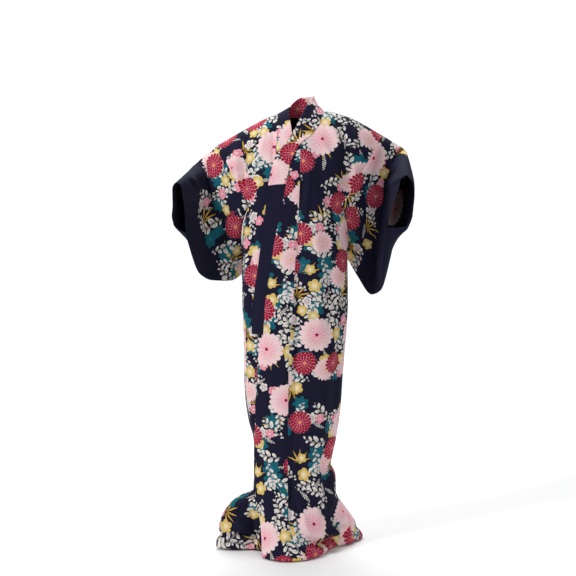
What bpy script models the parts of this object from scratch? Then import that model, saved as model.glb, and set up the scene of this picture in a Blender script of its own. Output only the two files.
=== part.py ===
"""Women's cotton yukata, worn open: left front over right, sleeves spread, the hem pooled on the floor.

Metres, +Z up. The wearer faces -Y and the wearer's left is +X. The origin is between the shoulders, at
neck height, where the robe hangs from its wearer. Every piece is a cloth wall with a 0.3 mm seam gap.
"""
import math

import bpy
import numpy as np

CLOTH = 0.0016            # thickness of one cotton wall
BAND = 0.0024             # the main collar is folded double
WRAP = 0.0012             # the over-collar's single layer
SEAM_GAP = 0.0003
FLOOR = -1.395            # the shoulders stand this far above the floor
UNDERARM = -0.30
SLIT_END = -0.43          # the open side slit below the sleeve ends here
COLLAR_END = -0.70        # lower end of the collar band
ARM_TURN = 60.0           # turn from centre front or back at which the armhole starts
SIDE_TURN = 90.0          # turn of the side seam
NAPE_RISE = 24 / 90       # where the neck curve meets the centre-back seam
ROUND = 0.87              # exponent of the body's squarish ring
LAYER_GAP = 0.0095        # the left front lies this far outside the right front
POINT_WIDTH = 0.002       # width of the overlap panel's pointed top
UNDER, OVER = 0, 1
FRONT, BACK = -1, 1


class Table:
    """Rows of named columns, read between rows along a smooth curve that never overshoots."""

    def __init__(self, names, rows):
        self.names = names.split()
        self.rows = np.array(sorted(rows), float)
        keys = self.rows[:, 0]
        steps = np.diff(keys)[:, None]
        rates = np.diff(self.rows, axis=0) / steps
        slopes = np.zeros_like(self.rows)
        slopes[0] = rates[0]
        slopes[-1] = rates[-1]
        same = rates[1:] * rates[:-1] > 0
        total = np.where(same, rates[1:] + rates[:-1], 1.0)
        slopes[1:-1] = np.where(same, 2 * rates[1:] * rates[:-1] / total, 0.0)
        self.slopes = slopes

    def at(self, name, where):
        column = self.names.index(name)
        keys = self.rows[:, 0]
        where = min(max(where, keys[0]), keys[-1])
        first = min(int(np.searchsorted(keys, where, side="right")) - 1, len(keys) - 2)
        width = keys[first + 1] - keys[first]
        t = (where - keys[first]) / width
        low, high = self.rows[first, column], self.rows[first + 1, column]
        rise, fall = self.slopes[first, column] * width, self.slopes[first + 1, column] * width
        return (low * (1 + 2 * t) * (1 - t) ** 2 + rise * t * (1 - t) ** 2
                + high * t * t * (3 - 2 * t) - fall * t * t * (1 - t))

    def point(self, where):
        return np.array([self.at("x", where), self.at("y", where), self.at("z", where)])


# The body's ring at each height, hanging straight from the shoulders and slim towards the floor.
BODY = Table("z centre half front back", [
    (-0.300, 0.002, 0.166, 0.122, 0.104),
    (-0.400, 0.001, 0.168, 0.124, 0.100),
    (-0.500, 0.000, 0.168, 0.120, 0.102),
    (-0.600, 0.001, 0.168, 0.122, 0.114),
    (-0.700, 0.000, 0.163, 0.124, 0.119),
    (-0.800, -0.005, 0.156, 0.122, 0.116),
    (-0.900, -0.008, 0.151, 0.118, 0.110),
    (-0.990, -0.007, 0.140, 0.114, 0.106),
    (-1.040, -0.004, 0.129, 0.110, 0.104),
    (-1.120, -0.010, 0.121, 0.106, 0.102),
    (-1.170, -0.004, 0.127, 0.106, 0.102),
    (-1.230, -0.004, 0.129, 0.108, 0.102),
    (-1.395, -0.008, 0.131, 0.112, 0.102),
])
# The line over the shoulders from the right sleeve seam (-1) to the left one (+1).
SHOULDER = Table("along x y z", [
    (-1.00, -0.245, 0.042, -0.107),
    (-0.62, -0.155, 0.014, -0.058),
    (-0.38, -0.094, 0.003, -0.027),
    (-0.22, -0.052, 0.000, -0.012),
    (0.00, 0.020, 0.000, -0.004),
    (0.30, 0.091, 0.000, -0.003),
    (0.62, 0.172, 0.008, -0.021),
    (0.80, 0.226, 0.020, -0.047),
    (1.00, 0.280, 0.042, -0.076),
])
NECK_LEFT, NECK_RIGHT = 0.30, -0.22
# Sideways place of each long edge and seam of the two fronts, at each height.
LEFT_COLLAR_SEAM = Table("z x", [
    (0.000, 0.091), (-0.012, 0.088), (-0.044, 0.078), (-0.080, 0.053), (-0.109, 0.0176), (-0.173, -0.0144),
    (-0.237, -0.027), (-0.328, -0.046), (-0.429, -0.066), (-0.525, -0.080), (-0.576, -0.090), (-0.700, -0.098)])
LEFT_COLLAR_EDGE = Table("z x", [
    (-0.109, -0.026), (-0.150, -0.059), (-0.224, -0.078), (-0.330, -0.093), (-0.429, -0.106),
    (-0.502, -0.117), (-0.566, -0.128), (-0.640, -0.135), (-0.700, -0.133)])
LEFT_OKUMI_SEAM = Table("z x", [
    (-0.109, 0.0176), (-0.200, 0.0160), (-0.336, 0.0110), (-0.480, 0.0010), (-0.576, -0.004), (-0.660, -0.010),
    (-0.780, -0.019), (-1.210, -0.022), (-1.270, -0.020), (-1.345, 0.000), (-1.370, 0.022), (-1.395, 0.045)])
LEFT_FREE_EDGE = Table("z x", [
    (-0.700, -0.099), (-0.740, -0.110), (-0.813, -0.117), (-0.886, -0.120), (-0.920, -0.124), (-1.240, -0.122),
    (-1.300, -0.108), (-1.395, -0.102)])
RIGHT_COLLAR_SEAM = Table("z x", [
    (0.000, -0.052), (-0.026, -0.053), (-0.077, -0.056), (-0.112, -0.057), (-0.200, -0.044), (-0.300, -0.014),
    (-0.450, 0.026), (-0.600, 0.056), (-0.700, 0.070)])
RIGHT_COLLAR_EDGE = Table("z x", [
    (-0.109, -0.005), (-0.150, 0.004), (-0.200, 0.014), (-0.300, 0.042), (-0.450, 0.082), (-0.600, 0.110),
    (-0.700, 0.120)])
RIGHT_OKUMI_SEAM = Table("z x", [
    (-0.109, -0.057), (-0.200, -0.052), (-0.300, -0.036), (-0.450, -0.012), (-0.600, 0.004), (-0.850, 0.018),
    (-1.000, 0.018), (-1.395, 0.016)])
RIGHT_FREE_EDGE = Table("z x", [
    (-0.700, 0.071), (-0.760, 0.090), (-0.900, 0.094), (-1.000, 0.088), (-1.395, 0.080)])
# The free edge of the collar round the neck, from the left front over the nape to the right front.
NECK_EDGE = Table("along x y z", [
    (-1.00, -0.026, -0.091, -0.078), (-0.75, 0.0176, -0.060, -0.0128), (-0.50, 0.042, -0.028, 0.020),
    (-0.25, 0.060, 0.008, 0.044), (0.00, 0.024, 0.056, 0.044), (0.25, -0.014, 0.030, 0.014),
    (0.50, -0.022, -0.014, 0.002), (0.75, -0.014, -0.052, -0.024), (1.00, -0.005, -0.082, -0.070)])

# Soft outward lobes of the pooled hem. Turn is degrees round the body from centre front, + to the left.
LOBES = [dict(zip(("turn", "reach", "right_spread", "left_spread", "rise", "roundness", "layers"), row)) for row in (
    (-76.0, 0.118, 30.0, 14.0, 0.168, 2.6, (UNDER,)),
    (-4.0, 0.092, 36.0, 36.0, 0.220, 0.75, (OVER,)),
    (-2.0, 0.070, 34.0, 34.0, 0.220, 0.75, (UNDER,)),
    (110.0, 0.118, 26.0, 26.0, 0.165, 1.15, (UNDER, OVER)),
    (172.0, 0.082, 24.0, 24.0, 0.170, 1.9, (UNDER, OVER)),
    (-138.0, 0.066, 20.0, 20.0, 0.150, 2.2, (UNDER,)),
)]
# Upright folds of the body. Depth is outwards; the top and bottom turns say how each one leans.
FOLDS = [dict(zip(("top", "bottom", "top_turn", "bottom_turn", "width", "depth"), row)) for row in (
    (-0.34, -1.32, 6.0, -4.0, 0.014, -0.0060),
    (-0.60, -1.34, 38.0, 30.0, 0.020, 0.0070),
    (-0.42, -1.30, 62.0, 52.0, 0.022, -0.0070),
    (-0.50, -1.24, -64.0, -58.0, 0.020, 0.0060),
    (-0.45, -1.30, 124.0, 120.0, 0.024, -0.0080),
    (-0.40, -1.28, 146.0, 150.0, 0.022, 0.0070),
    (-0.46, -1.30, 176.0, 174.0, 0.020, -0.0070),
    (-0.42, -1.28, -152.0, -150.0, 0.024, 0.0080),
    (-0.50, -1.30, -124.0, -122.0, 0.022, -0.0070),
)]
# Level breaks where the surplus length buckles above the floor.
BREAKS = [dict(zip(("turn", "spread", "height", "width", "depth"), row)) for row in (
    (-76.0, 30.0, 0.048, 0.012, -0.012),
    (112.0, 24.0, 0.040, 0.012, -0.008),
    (172.0, 26.0, 0.055, 0.014, -0.010),
    (70.0, 22.0, 0.262, 0.016, -0.010),
)]
TUCK = Table("turn inward", [(-180, 0.045), (-110, 0.050), (-84, 0.060), (-50, 0.030), (0, 0.020), (60, 0.020),
                             (112, 0.030), (180, 0.045)])

# The top line of each sleeve from its body seam (0) to the wrist opening (1). Front and back say how far
# each layer stands off the line over the arm.
LEFT_ARM = Table("along x y z front back", [
    (0.00, 0.280, 0.042, -0.076, 0.044, 0.044), (0.18, 0.322, 0.058, -0.099, 0.042, 0.036),
    (0.34, 0.351, 0.046, -0.121, 0.036, 0.018), (0.52, 0.353, -0.004, -0.146, 0.028, 0.012),
    (0.76, 0.345, -0.075, -0.178, 0.018, 0.012), (1.00, 0.342, -0.135, -0.208, 0.006, 0.010)])
RIGHT_ARM = Table("along x y z front back", [
    (0.00, -0.245, 0.042, -0.107, 0.044, 0.044), (0.18, -0.284, 0.060, -0.136, 0.042, 0.040),
    (0.34, -0.310, 0.048, -0.160, 0.036, 0.022), (0.52, -0.326, -0.004, -0.184, 0.028, 0.014),
    (0.76, -0.344, -0.075, -0.208, 0.018, 0.012), (1.00, -0.362, -0.135, -0.230, 0.008, 0.010)])
# The bottom line of each sleeve, from its inner lower corner (0) round to the wrist opening's lower end (1).
LEFT_BAG = Table("along x y z", [
    (0.00, 0.160, 0.070, -0.450), (0.20, 0.202, 0.046, -0.524), (0.38, 0.246, 0.008, -0.584),
    (0.52, 0.274, -0.040, -0.562), (0.66, 0.275, -0.080, -0.500), (0.82, 0.275, -0.100, -0.430),
    (1.00, 0.282, -0.116, -0.370)])
RIGHT_BAG = Table("along x y z", [
    (0.00, -0.158, 0.070, -0.512), (0.20, -0.208, 0.042, -0.542), (0.38, -0.264, 0.002, -0.538),
    (0.52, -0.300, -0.040, -0.514), (0.66, -0.315, -0.078, -0.470), (0.82, -0.327, -0.100, -0.424),
    (1.00, -0.338, -0.116, -0.384)])
# How far each layer swings away from the straight hang at the wrist opening, from its top to its lower end.
WRIST_SWING = Table("level left_front left_back right_front right_back", [
    (0.00, 0.000, 0.000, 0.000, 0.000), (0.20, 0.000, 0.022, 0.002, 0.008), (0.45, 0.000, 0.042, 0.004, 0.018),
    (0.70, 0.000, 0.056, 0.002, 0.030), (0.82, 0.000, 0.055, 0.000, 0.030), (0.92, 0.000, 0.030, 0.000, 0.018),
    (1.00, 0.000, 0.000, 0.000, 0.000)])
BAG_DEPTH = 0.010         # half the space between a sleeve's two layers
ARM_SHARE = 0.14          # share of the drop that lies over the arm
DROP_ATTACHED = 0.47      # share of the sleeve's drop that is sewn to the body

UPPER_FRONT = [d / 90 for d in (0, 12, 22, 30, 36, 42, 48, 56, 66, 76, 90)]
UPPER_BACK = [d / 90 for d in (0, 8, 14, 18, 21, 24, 36, 50, 64, 78, 90)]
POINT_ROW = 48 / 90       # the overlap panel's point
OVER_COLLAR_ROW = 76 / 90  # lower end of the over-collar on each front
HEIGHTS = (-0.34, -0.38, -0.43, -0.49, -0.56, -0.63, -0.70, -0.77, -0.84, -0.91, -0.98, -1.04, -1.09, -1.135,
           -1.175, -1.21, -1.24, -1.265, -1.295, -1.325, -1.345, -1.360, -1.375, -1.386, -1.389, -1.392, -1.3945)
HEM_ROWS = {-1.386: 0.0, -1.389: 0.12, -1.392: 0.5, -1.3945: 1.0}
TUCK_SHARE = Table("z share", [(z, share) for z, share in HEM_ROWS.items()])
SKIRT = [1 + UNDERARM - z for z in HEIGHTS]
FRONT_COLUMNS, BACK_COLUMNS = 9, 9
OKUMI_COLUMNS = 5
COLLAR_COLUMNS = 3
FREE_SHARES = [0.56, 0.66, 0.76, 0.86, 0.93, 0.98]
SLEEVE_STEPS = (0.0, 0.08, 0.16, 0.24, 0.32, 0.40, 0.48, 0.57, 0.66, 0.75, 0.84, 0.91, 0.96, 1.0)


def smoothstep(low, high, value):
    t = min(max((value - low) / (high - low), 0.0), 1.0)
    return t * t * (3 - 2 * t)


def bell(distance, width):
    return math.exp(-(distance / width) ** 2)


def round_turn(turn, face):
    """Degrees round the body from centre front, for a turn measured from centre front or centre back."""
    if face == FRONT:
        return turn
    return (180 - turn) if turn >= 0 else (-180 - turn)


def turn_between(one, other):
    return (one - other + 180) % 360 - 180


def layer_gap(x, z):
    """How far the left front stands outside the right front at this place."""
    full = 0.015 + 0.115 * smoothstep(-0.05, -0.55, z)
    return LAYER_GAP * (1 - smoothstep(full, full + 0.05, x))


def hem_reach(around, height, layer):
    reach = 0.0
    for lobe in LOBES:
        if layer in lobe["layers"] and height < lobe["rise"]:
            share = (1 - (height / lobe["rise"]) ** lobe["roundness"]) ** (1 / lobe["roundness"])
            away = turn_between(around, lobe["turn"])
            reach += lobe["reach"] * share * bell(away, lobe["left_spread" if away > 0 else "right_spread"])
    return reach


def skirt_point(turn, face, z, layer, folded=True):
    """A point of the body below the underarm."""
    z = max(z, FLOOR)
    angle = math.radians(turn)
    depth = BODY.at("front" if face == FRONT else "back", z)
    side, ahead = math.sin(angle), math.cos(angle)
    x = BODY.at("centre", z) + BODY.at("half", z) * math.copysign(abs(side) ** ROUND, side)
    y = face * depth * abs(ahead) ** ROUND
    outward = np.array([side, face * ahead, 0.0])
    around = round_turn(turn, face)
    height = z - FLOOR
    out = hem_reach(around, height, layer)
    if layer == OVER and face == FRONT:
        out += layer_gap(x, z)
    out -= TUCK.at("inward", around) * TUCK_SHARE.at("share", z) * (z < -1.386)
    if folded:
        for fold in FOLDS:
            if fold["bottom"] < z < fold["top"]:
                share = (fold["top"] - z) / (fold["top"] - fold["bottom"])
                centre = fold["top_turn"] + (fold["bottom_turn"] - fold["top_turn"]) * share
                across = math.radians(turn_between(around, centre)) * 0.14
                fade = math.sin(math.pi * min(max(share, 0.0), 1.0)) ** 0.6
                out += fold["depth"] * fade * bell(across, fold["width"])
        for crease in BREAKS:
            out += (crease["depth"] * bell(height - crease["height"], crease["width"])
                    * bell(turn_between(around, crease["turn"]), crease["spread"]))
    return np.array([x, y, z]) + outward * out


def body_point(turn, face, row, layer, folded=True):
    """A point of the body. Row runs from 0 on the shoulder line to 1 at the underarm, then 1 more a metre down."""
    if row >= 1:
        return skirt_point(turn, face, UNDERARM - (row - 1), layer, folded)
    foot = skirt_point(turn, face, UNDERARM, layer, folded)
    top = SHOULDER.point(turn / ARM_TURN)
    exponent = 1.05 if face == FRONT else 0.62 + 0.3 * smoothstep(5, 40, abs(turn))
    angle = row * math.pi / 2
    out = math.sin(angle) ** exponent
    down = 1 - math.cos(angle) ** exponent
    gap = layer_gap(foot[0], UNDERARM) if (layer == OVER and face == FRONT) else 0.0
    point = top + (foot - top) * np.array([down, out, down])
    if gap:
        point[1] -= (layer_gap(point[0], point[2]) * min(1.0, 2 * math.sin(angle)) - gap * out)
    return point


def turn_at(edge, row, layer):
    """The turn at which a front's row crosses an edge given by its sideways place."""
    limit = ARM_TURN if row < 1 else SIDE_TURN
    low, high = -limit, limit
    for _ in range(40):
        middle = (low + high) / 2
        point = body_point(middle, FRONT, row, layer, folded=False)
        if point[0] < edge.at("x", point[2]):
            low = middle
        else:
            high = middle
    return (low + high) / 2


def side_turn(row):
    """The turn of a panel's outer edge: the armhole, then the open slit, then the side seam."""
    if row <= 1:
        return ARM_TURN
    z = UNDERARM - (row - 1)
    return ARM_TURN + (SIDE_TURN - ARM_TURN) * smoothstep(UNDERARM, SLIT_END, z) ** 0.7


def neck_turn(side, row):
    """The turn of a back panel's inner edge: the neck curve, then the centre-back seam."""
    if row >= NAPE_RISE:
        return 0.0
    share = (math.sin(row * math.pi / 2) / math.sin(NAPE_RISE * math.pi / 2)) ** 0.62
    start = (NECK_LEFT if side > 0 else NECK_RIGHT) * ARM_TURN
    return start * math.sqrt(max(0.0, 1 - share * share))


def spread_row(first, last, count, face, row, layer):
    return [body_point(first + (last - first) * i / count, face, row, layer) for i in range(count + 1)]


def okumi_seam_turn(side, row):
    """The seam between overlap and body panel; it never closes on the collar seam."""
    layer = OVER if side > 0 else UNDER
    collar, okumi = (LEFT_COLLAR_SEAM, LEFT_OKUMI_SEAM) if side > 0 else (RIGHT_COLLAR_SEAM, RIGHT_OKUMI_SEAM)
    turn = side * turn_at(okumi, row, layer)
    if UNDERARM - (row - 1) >= COLLAR_END:
        turn = max(turn, side * turn_at(collar, row, layer) + math.degrees(POINT_WIDTH / 0.14))
    return side * turn


def front_inner_turn(side, row):
    """Inner edge of a body panel's front: the collar seam, then the overlap seam."""
    if row == 0:
        return (NECK_LEFT if side > 0 else NECK_RIGHT) * ARM_TURN
    if row < POINT_ROW:
        return turn_at(LEFT_COLLAR_SEAM if side > 0 else RIGHT_COLLAR_SEAM, row, OVER if side > 0 else UNDER)
    return okumi_seam_turn(side, row)


def body_panel_grid(side):
    """Up the back, over the shoulder and down the front; columns run towards +X."""
    layer = OVER if side > 0 else UNDER
    rows = []
    for row in reversed(UPPER_BACK[1:] + SKIRT):
        rows.append(spread_row(neck_turn(side, row), side * side_turn(row), BACK_COLUMNS, BACK, row, layer))
    for row in UPPER_FRONT + SKIRT:
        inner = front_inner_turn(side, row)
        rows.append(spread_row(inner, side * side_turn(row), FRONT_COLUMNS, FRONT, row, layer))
    grid = np.array(rows)
    return grid if side > 0 else grid[:, ::-1]


def okumi_grid(side):
    """The overlap panel of one front, from its pointed top to the hem; columns run towards +X."""
    layer = OVER if side > 0 else UNDER
    collar, free = ((LEFT_COLLAR_SEAM, LEFT_FREE_EDGE) if side > 0 else (RIGHT_COLLAR_SEAM, RIGHT_FREE_EDGE))
    rows = []
    for row in [r for r in UPPER_FRONT if r >= POINT_ROW] + SKIRT:
        z = UNDERARM - (row - 1)
        outer = turn_at(free if z < COLLAR_END else collar, row, layer)
        rows.append(spread_row(outer, okumi_seam_turn(side, row), OKUMI_COLUMNS, FRONT, row, layer))
    grid = np.array(rows)
    return grid if side > 0 else grid[:, ::-1]


def collar_grid():
    """The collar band from the left front's lower end, round the nape, to the right front's."""
    rows = []
    fronts = {}
    for side in (1, -1):
        layer = OVER if side > 0 else UNDER
        seam, edge = ((LEFT_COLLAR_SEAM, LEFT_COLLAR_EDGE) if side > 0 else (RIGHT_COLLAR_SEAM, RIGHT_COLLAR_EDGE))
        lower = [r for r in UPPER_FRONT + SKIRT if r >= POINT_ROW and UNDERARM - (r - 1) >= COLLAR_END - 1e-6]
        stations = []
        for row in lower:
            first, last = turn_at(seam, row, layer), turn_at(edge, row, layer)
            stations.append(spread_row(first, last, COLLAR_COLUMNS, FRONT, row, layer))
        fronts[side] = stations
    neck = {}
    for side in (1, -1):
        seam = LEFT_COLLAR_SEAM if side > 0 else RIGHT_COLLAR_SEAM
        layer = OVER if side > 0 else UNDER
        front_rows = [r for r in UPPER_FRONT if 0 < r < POINT_ROW]
        points = [body_point(turn_at(seam, row, layer), FRONT, row, layer) for row in reversed(front_rows)]
        points.append(body_point(neck_turn(side, 0), FRONT, 0, layer))
        points += [body_point(neck_turn(side, row), BACK, row, layer) for row in UPPER_BACK[1:] if row < NAPE_RISE]
        neck[side] = points
    nape = body_point(0, BACK, NAPE_RISE, UNDER)
    seam_points = neck[1] + [nape] + neck[-1][::-1]
    joined = [fronts[1][0][0]] + seam_points + [fronts[-1][0][0]]
    length = np.concatenate([[0], np.cumsum([np.linalg.norm(b - a) for a, b in zip(joined, joined[1:])])])
    middle = length[1 + len(neck[1])]
    start, end = fronts[1][0][-1], fronts[-1][0][-1]
    stations = []
    for place, point in list(zip(length, joined))[1:-1]:
        along = (place - middle) / (middle if place < middle else length[-1] - middle)
        free = NECK_EDGE.point(along)
        free = free + (start - NECK_EDGE.point(-1)) * smoothstep(-0.4, -1.0, along)
        free = free + (end - NECK_EDGE.point(1)) * smoothstep(0.4, 1.0, along)
        stations.append([point + (free - point) * i / COLLAR_COLUMNS for i in range(COLLAR_COLUMNS + 1)])
    rows = fronts[1][::-1] + stations + fronts[-1]
    return np.array(rows)


def sleeve_grid(side):
    """A sleeve from its body edge to the wrist opening; each row is a ring down the front and up the back."""
    name = "left" if side > 0 else "right"
    layer = OVER if side > 0 else UNDER
    arm, bag = (LEFT_ARM, LEFT_BAG) if side > 0 else (RIGHT_ARM, RIGHT_BAG)
    corner = bag.point(0)
    first, second = (BACK, FRONT) if side > 0 else (FRONT, BACK)
    uppers = {FRONT: UPPER_FRONT, BACK: UPPER_BACK}

    def hanging_edge(face):
        """The sleeve's own edge below the armhole, down to its inner lower corner."""
        under = body_point(side * ARM_TURN, face, 1, layer)
        hang = []
        for share in FREE_SHARES:
            t = (share - DROP_ATTACHED) / (1 - DROP_ATTACHED)
            swell = side * 0.021 * math.sin(math.pi * t ** 0.8)
            depth = face * BAG_DEPTH * math.sqrt(1 - share ** 8) * 0.8
            hang.append(under + (corner - under) * np.array([t, t ** 0.9, t]) + np.array([swell, depth * t, 0]))
        return hang

    sewn = {face: [body_point(side * ARM_TURN, face, row, layer) for row in uppers[face]] for face in (FRONT, BACK)}
    edge = (sewn[first] + hanging_edge(first) + [corner] + hanging_edge(second)[::-1] + sewn[second][:0:-1])
    sewn_shares = {face: [DROP_ATTACHED * row ** 0.9 for row in uppers[face]] for face in (FRONT, BACK)}
    shares = sewn_shares[first] + FREE_SHARES + [1.0] + FREE_SHARES[::-1] + sewn_shares[second][:0:-1]
    faces = ([first] * (len(uppers[first]) + len(FREE_SHARES) + 1)
             + [second] * (len(FREE_SHARES) + len(uppers[second]) - 1))
    tops = np.array([arm.point(along) for along in SLEEVE_STEPS])
    drops = np.array([bag.point(along) for along in SLEEVE_STEPS]) - tops
    outwards = []
    for share in shares:
        onwards = np.gradient(tops + drops * share * 0.6, axis=0) * (1, 1, 0)
        forwards = np.cross(onwards, drops) * -side
        outwards.append(forwards / np.linalg.norm(forwards, axis=1, keepdims=True))
    rows = []
    for number, along in enumerate(SLEEVE_STEPS):
        top, drop = tops[number], drops[number]
        ring = []
        for share, face, rim, forwards in zip(shares, faces, edge, outwards):
            layer_name = "front" if face == FRONT else "back"
            wrap = math.sqrt(1 - (1 - min(share / ARM_SHARE, 1.0)) ** 2)
            depth = BAG_DEPTH * (1 - 0.5 * smoothstep(0.5, 1.0, along)) * math.sqrt(1 - share ** 8)
            reach = wrap * (arm.at(layer_name, along) * (1 - share) ** 1.6 + depth)
            level = share * (0.5 + 0.5 * drop[2] / (bag.point(1)[2] - top[2]))
            swing = WRIST_SWING.at(name + "_" + layer_name, level) * smoothstep(0.40, 0.95, along)
            hung = top + drop * share - face * forwards[number] * (reach + swing)
            near = rim + (top - tops[0]) * (1 - share) + (top + drop - corner) * share
            ring.append(near + (hung - near) * smoothstep(0.0, 0.36, along))
        rows.append(ring)
    return np.array(rows)


def grid_normals(grid, closed=False):
    """Unit normals of a grid of points, the mean of the faces round each; a closed grid's columns run in a ring."""
    ahead = np.concatenate([grid, grid[:, :1]], axis=1) if closed else grid
    faces = np.cross(ahead[1:, 1:] - ahead[:-1, :-1], ahead[:-1, 1:] - ahead[1:, :-1])
    faces /= np.maximum(np.linalg.norm(faces, axis=2, keepdims=True), 1e-12)
    around = np.pad(faces, ((1, 1), (0, 0), (0, 0)))
    around = np.concatenate([around[:, -1:], around], axis=1) if closed else np.pad(around, ((0, 0), (1, 1), (0, 0)))
    normals = around[1:, 1:] + around[1:, :-1] + around[:-1, 1:] + around[:-1, :-1]
    return normals / np.linalg.norm(normals, axis=2, keepdims=True)


def make_material(name, colour, roughness):
    material = bpy.data.materials.new(name)
    material.use_nodes = True
    shader = material.node_tree.nodes["Principled BSDF"]
    shader.inputs["Base Color"].default_value = (*colour, 1.0)
    shader.inputs["Roughness"].default_value = roughness
    shader.inputs["Metallic"].default_value = 0.0
    return material


def cloth_wall(name, grid, normals, thickness, material, collection, closed=False):
    """A closed wall of even thickness on both sides of a grid of points."""
    rows, columns = grid.shape[:2]
    outer = (grid + normals * thickness / 2).reshape(-1, 3)
    inner = (grid - normals * thickness / 2).reshape(-1, 3)
    count = rows * columns

    def index(i, j):
        return i * columns + j % columns

    faces = []
    last = columns if closed else columns - 1
    points = grid.reshape(-1, 3)
    for i in range(rows - 1):
        for j in range(last):
            a, b, c, d = index(i, j), index(i + 1, j), index(i + 1, j + 1), index(i, j + 1)
            straight = np.linalg.norm(points[a] - points[c]) < np.linalg.norm(points[b] - points[d])
            for face in ([(a, b, c), (a, c, d)] if straight else [(a, b, d), (b, c, d)]):
                faces.append(face)
                faces.append([count + k for k in reversed(face)])
    rim = [[index(0, j) for j in range(last + (0 if closed else 1))],
           [index(rows - 1, j) for j in range(last + (0 if closed else 1))][::-1]]
    if closed:
        loops = rim
    else:
        loops = [[index(0, j) for j in range(columns)] + [index(i, columns - 1) for i in range(1, rows)]
                 + [index(rows - 1, j) for j in range(columns - 2, -1, -1)]
                 + [index(i, 0) for i in range(rows - 2, 0, -1)]]
    for loop in loops:
        for a, b in zip(loop, loop[1:] + loop[:1]):
            if points[a][2] > points[b][2]:
                faces += [(a, b, count + b), (a, count + b, count + a)]
            else:
                faces += [(a, b, count + a), (b, count + b, count + a)]
    mesh = bpy.data.meshes.new(name)
    mesh.from_pydata([tuple(p) for p in np.vstack([outer, inner])], [], faces)
    mesh.materials.append(material)
    mesh.shade_smooth()
    mesh.set_sharp_from_angle(angle=math.radians(50))
    thing = bpy.data.objects.new(name, mesh)
    collection.objects.link(thing)
    return thing


def share_normals(*edges):
    """Give the two sides of a seam one normal at each point, so that their rims stay parallel."""
    total = sum(np.array(edge) for edge in edges)
    total /= np.linalg.norm(total, axis=1, keepdims=True)
    for edge in edges:
        edge[:] = total


def draw_back(grid, edge, distance):
    """Move one border of a grid back along its surface, to leave its share of the seam gap."""
    border, inside = {"first": (grid[:, 0], grid[:, 1]), "last": (grid[:, -1], grid[:, -2]),
                      "top": (grid[0], grid[1]), "bottom": (grid[-1], grid[-2])}[edge]
    step = inside - border
    border += step / np.linalg.norm(step, axis=1, keepdims=True) * distance


def over_collar_grid(collar, normals):
    """The over-collar: out from the seam over the band's face, round its free edge and back inside."""
    lift = BAND / 2 + SEAM_GAP + WRAP / 2
    lower = len([r for r in UPPER_FRONT if r > OVER_COLLAR_ROW]) + len([z for z in HEIGHTS if z >= COLLAR_END])
    band, face = collar[lower:len(collar) - lower], normals[lower:len(collar) - lower]
    beyond = band[:, -1] - band[:, -2]
    beyond /= np.linalg.norm(beyond, axis=1, keepdims=True)
    columns = [band[:, j] + face[:, j] * lift for j in range(band.shape[1])]
    for turn in (45, 0, -45):
        angle = math.radians(turn)
        columns.append(band[:, -1] + (beyond * math.cos(angle) + face[:, -1] * math.sin(angle)) * lift)
    columns += [band[:, j] - face[:, j] * lift for j in range(band.shape[1] - 1, -1, -1)]
    return np.stack(columns, axis=1)


def sew(pieces, normals):
    """Share one normal along each seam and leave the seam gap between its two sides."""
    back = len(UPPER_BACK) - 1 + len(SKIRT)
    neck_back = len([r for r in UPPER_BACK if 0 < r < NAPE_RISE])
    neck_front = len([r for r in UPPER_FRONT if r < POINT_ROW])
    front_band = len([r for r in UPPER_FRONT + SKIRT if r >= POINT_ROW and UNDERARM - (r - 1) >= COLLAR_END - 1e-6])
    below_slit = len([z for z in HEIGHTS if z > SLIT_END])
    nape = front_band + neck_front + neck_back
    for side in (1, -1):
        panel, okumi = normals[("panel", side)], normals[("okumi", side)]
        sleeve = normals[("sleeve", side)]
        inner, outer = (0, -1) if side > 0 else (-1, 0)
        band = normals["collar"][:, 0][::side]
        share_normals(okumi[:, outer], panel[back + neck_front:, inner])
        share_normals(okumi[:front_band, inner][::-1], band[:front_band])
        share_normals(panel[back - neck_back:back + neck_front, inner][::-1],
                      band[front_band:nape])
        skirt_rows = len(SKIRT) - below_slit
        share_normals(panel[:skirt_rows, outer], panel[len(panel) - skirt_rows:, outer][::-1])
        front_edge = panel[back:back + len(UPPER_FRONT), outer]
        back_edge = panel[back + 1 - len(UPPER_BACK):back + 1, outer][::-1]
        first, second = (back_edge, front_edge) if side > 0 else (front_edge, back_edge)
        share_normals(first, sleeve[0, :len(first)])
        share_normals(second[1:][::-1], sleeve[0, 1 - len(second):])
    centre = back - neck_back
    share_normals(normals[("panel", 1)][:centre, 0], normals[("panel", -1)][:centre, -1])
    share_normals(normals["collar"][nape:nape + 1, 0], normals[("panel", 1)][centre - 1:centre, 0],
                  normals[("panel", -1)][centre - 1:centre, -1])
    half = SEAM_GAP / 2
    for side in (1, -1):
        for edge in ("first", "last"):
            draw_back(pieces[("panel", side)], edge, half)
            draw_back(pieces[("okumi", side)], edge, half)
        draw_back(pieces[("sleeve", side)], "top", SEAM_GAP)
    draw_back(pieces["collar"], "first", half)


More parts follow.
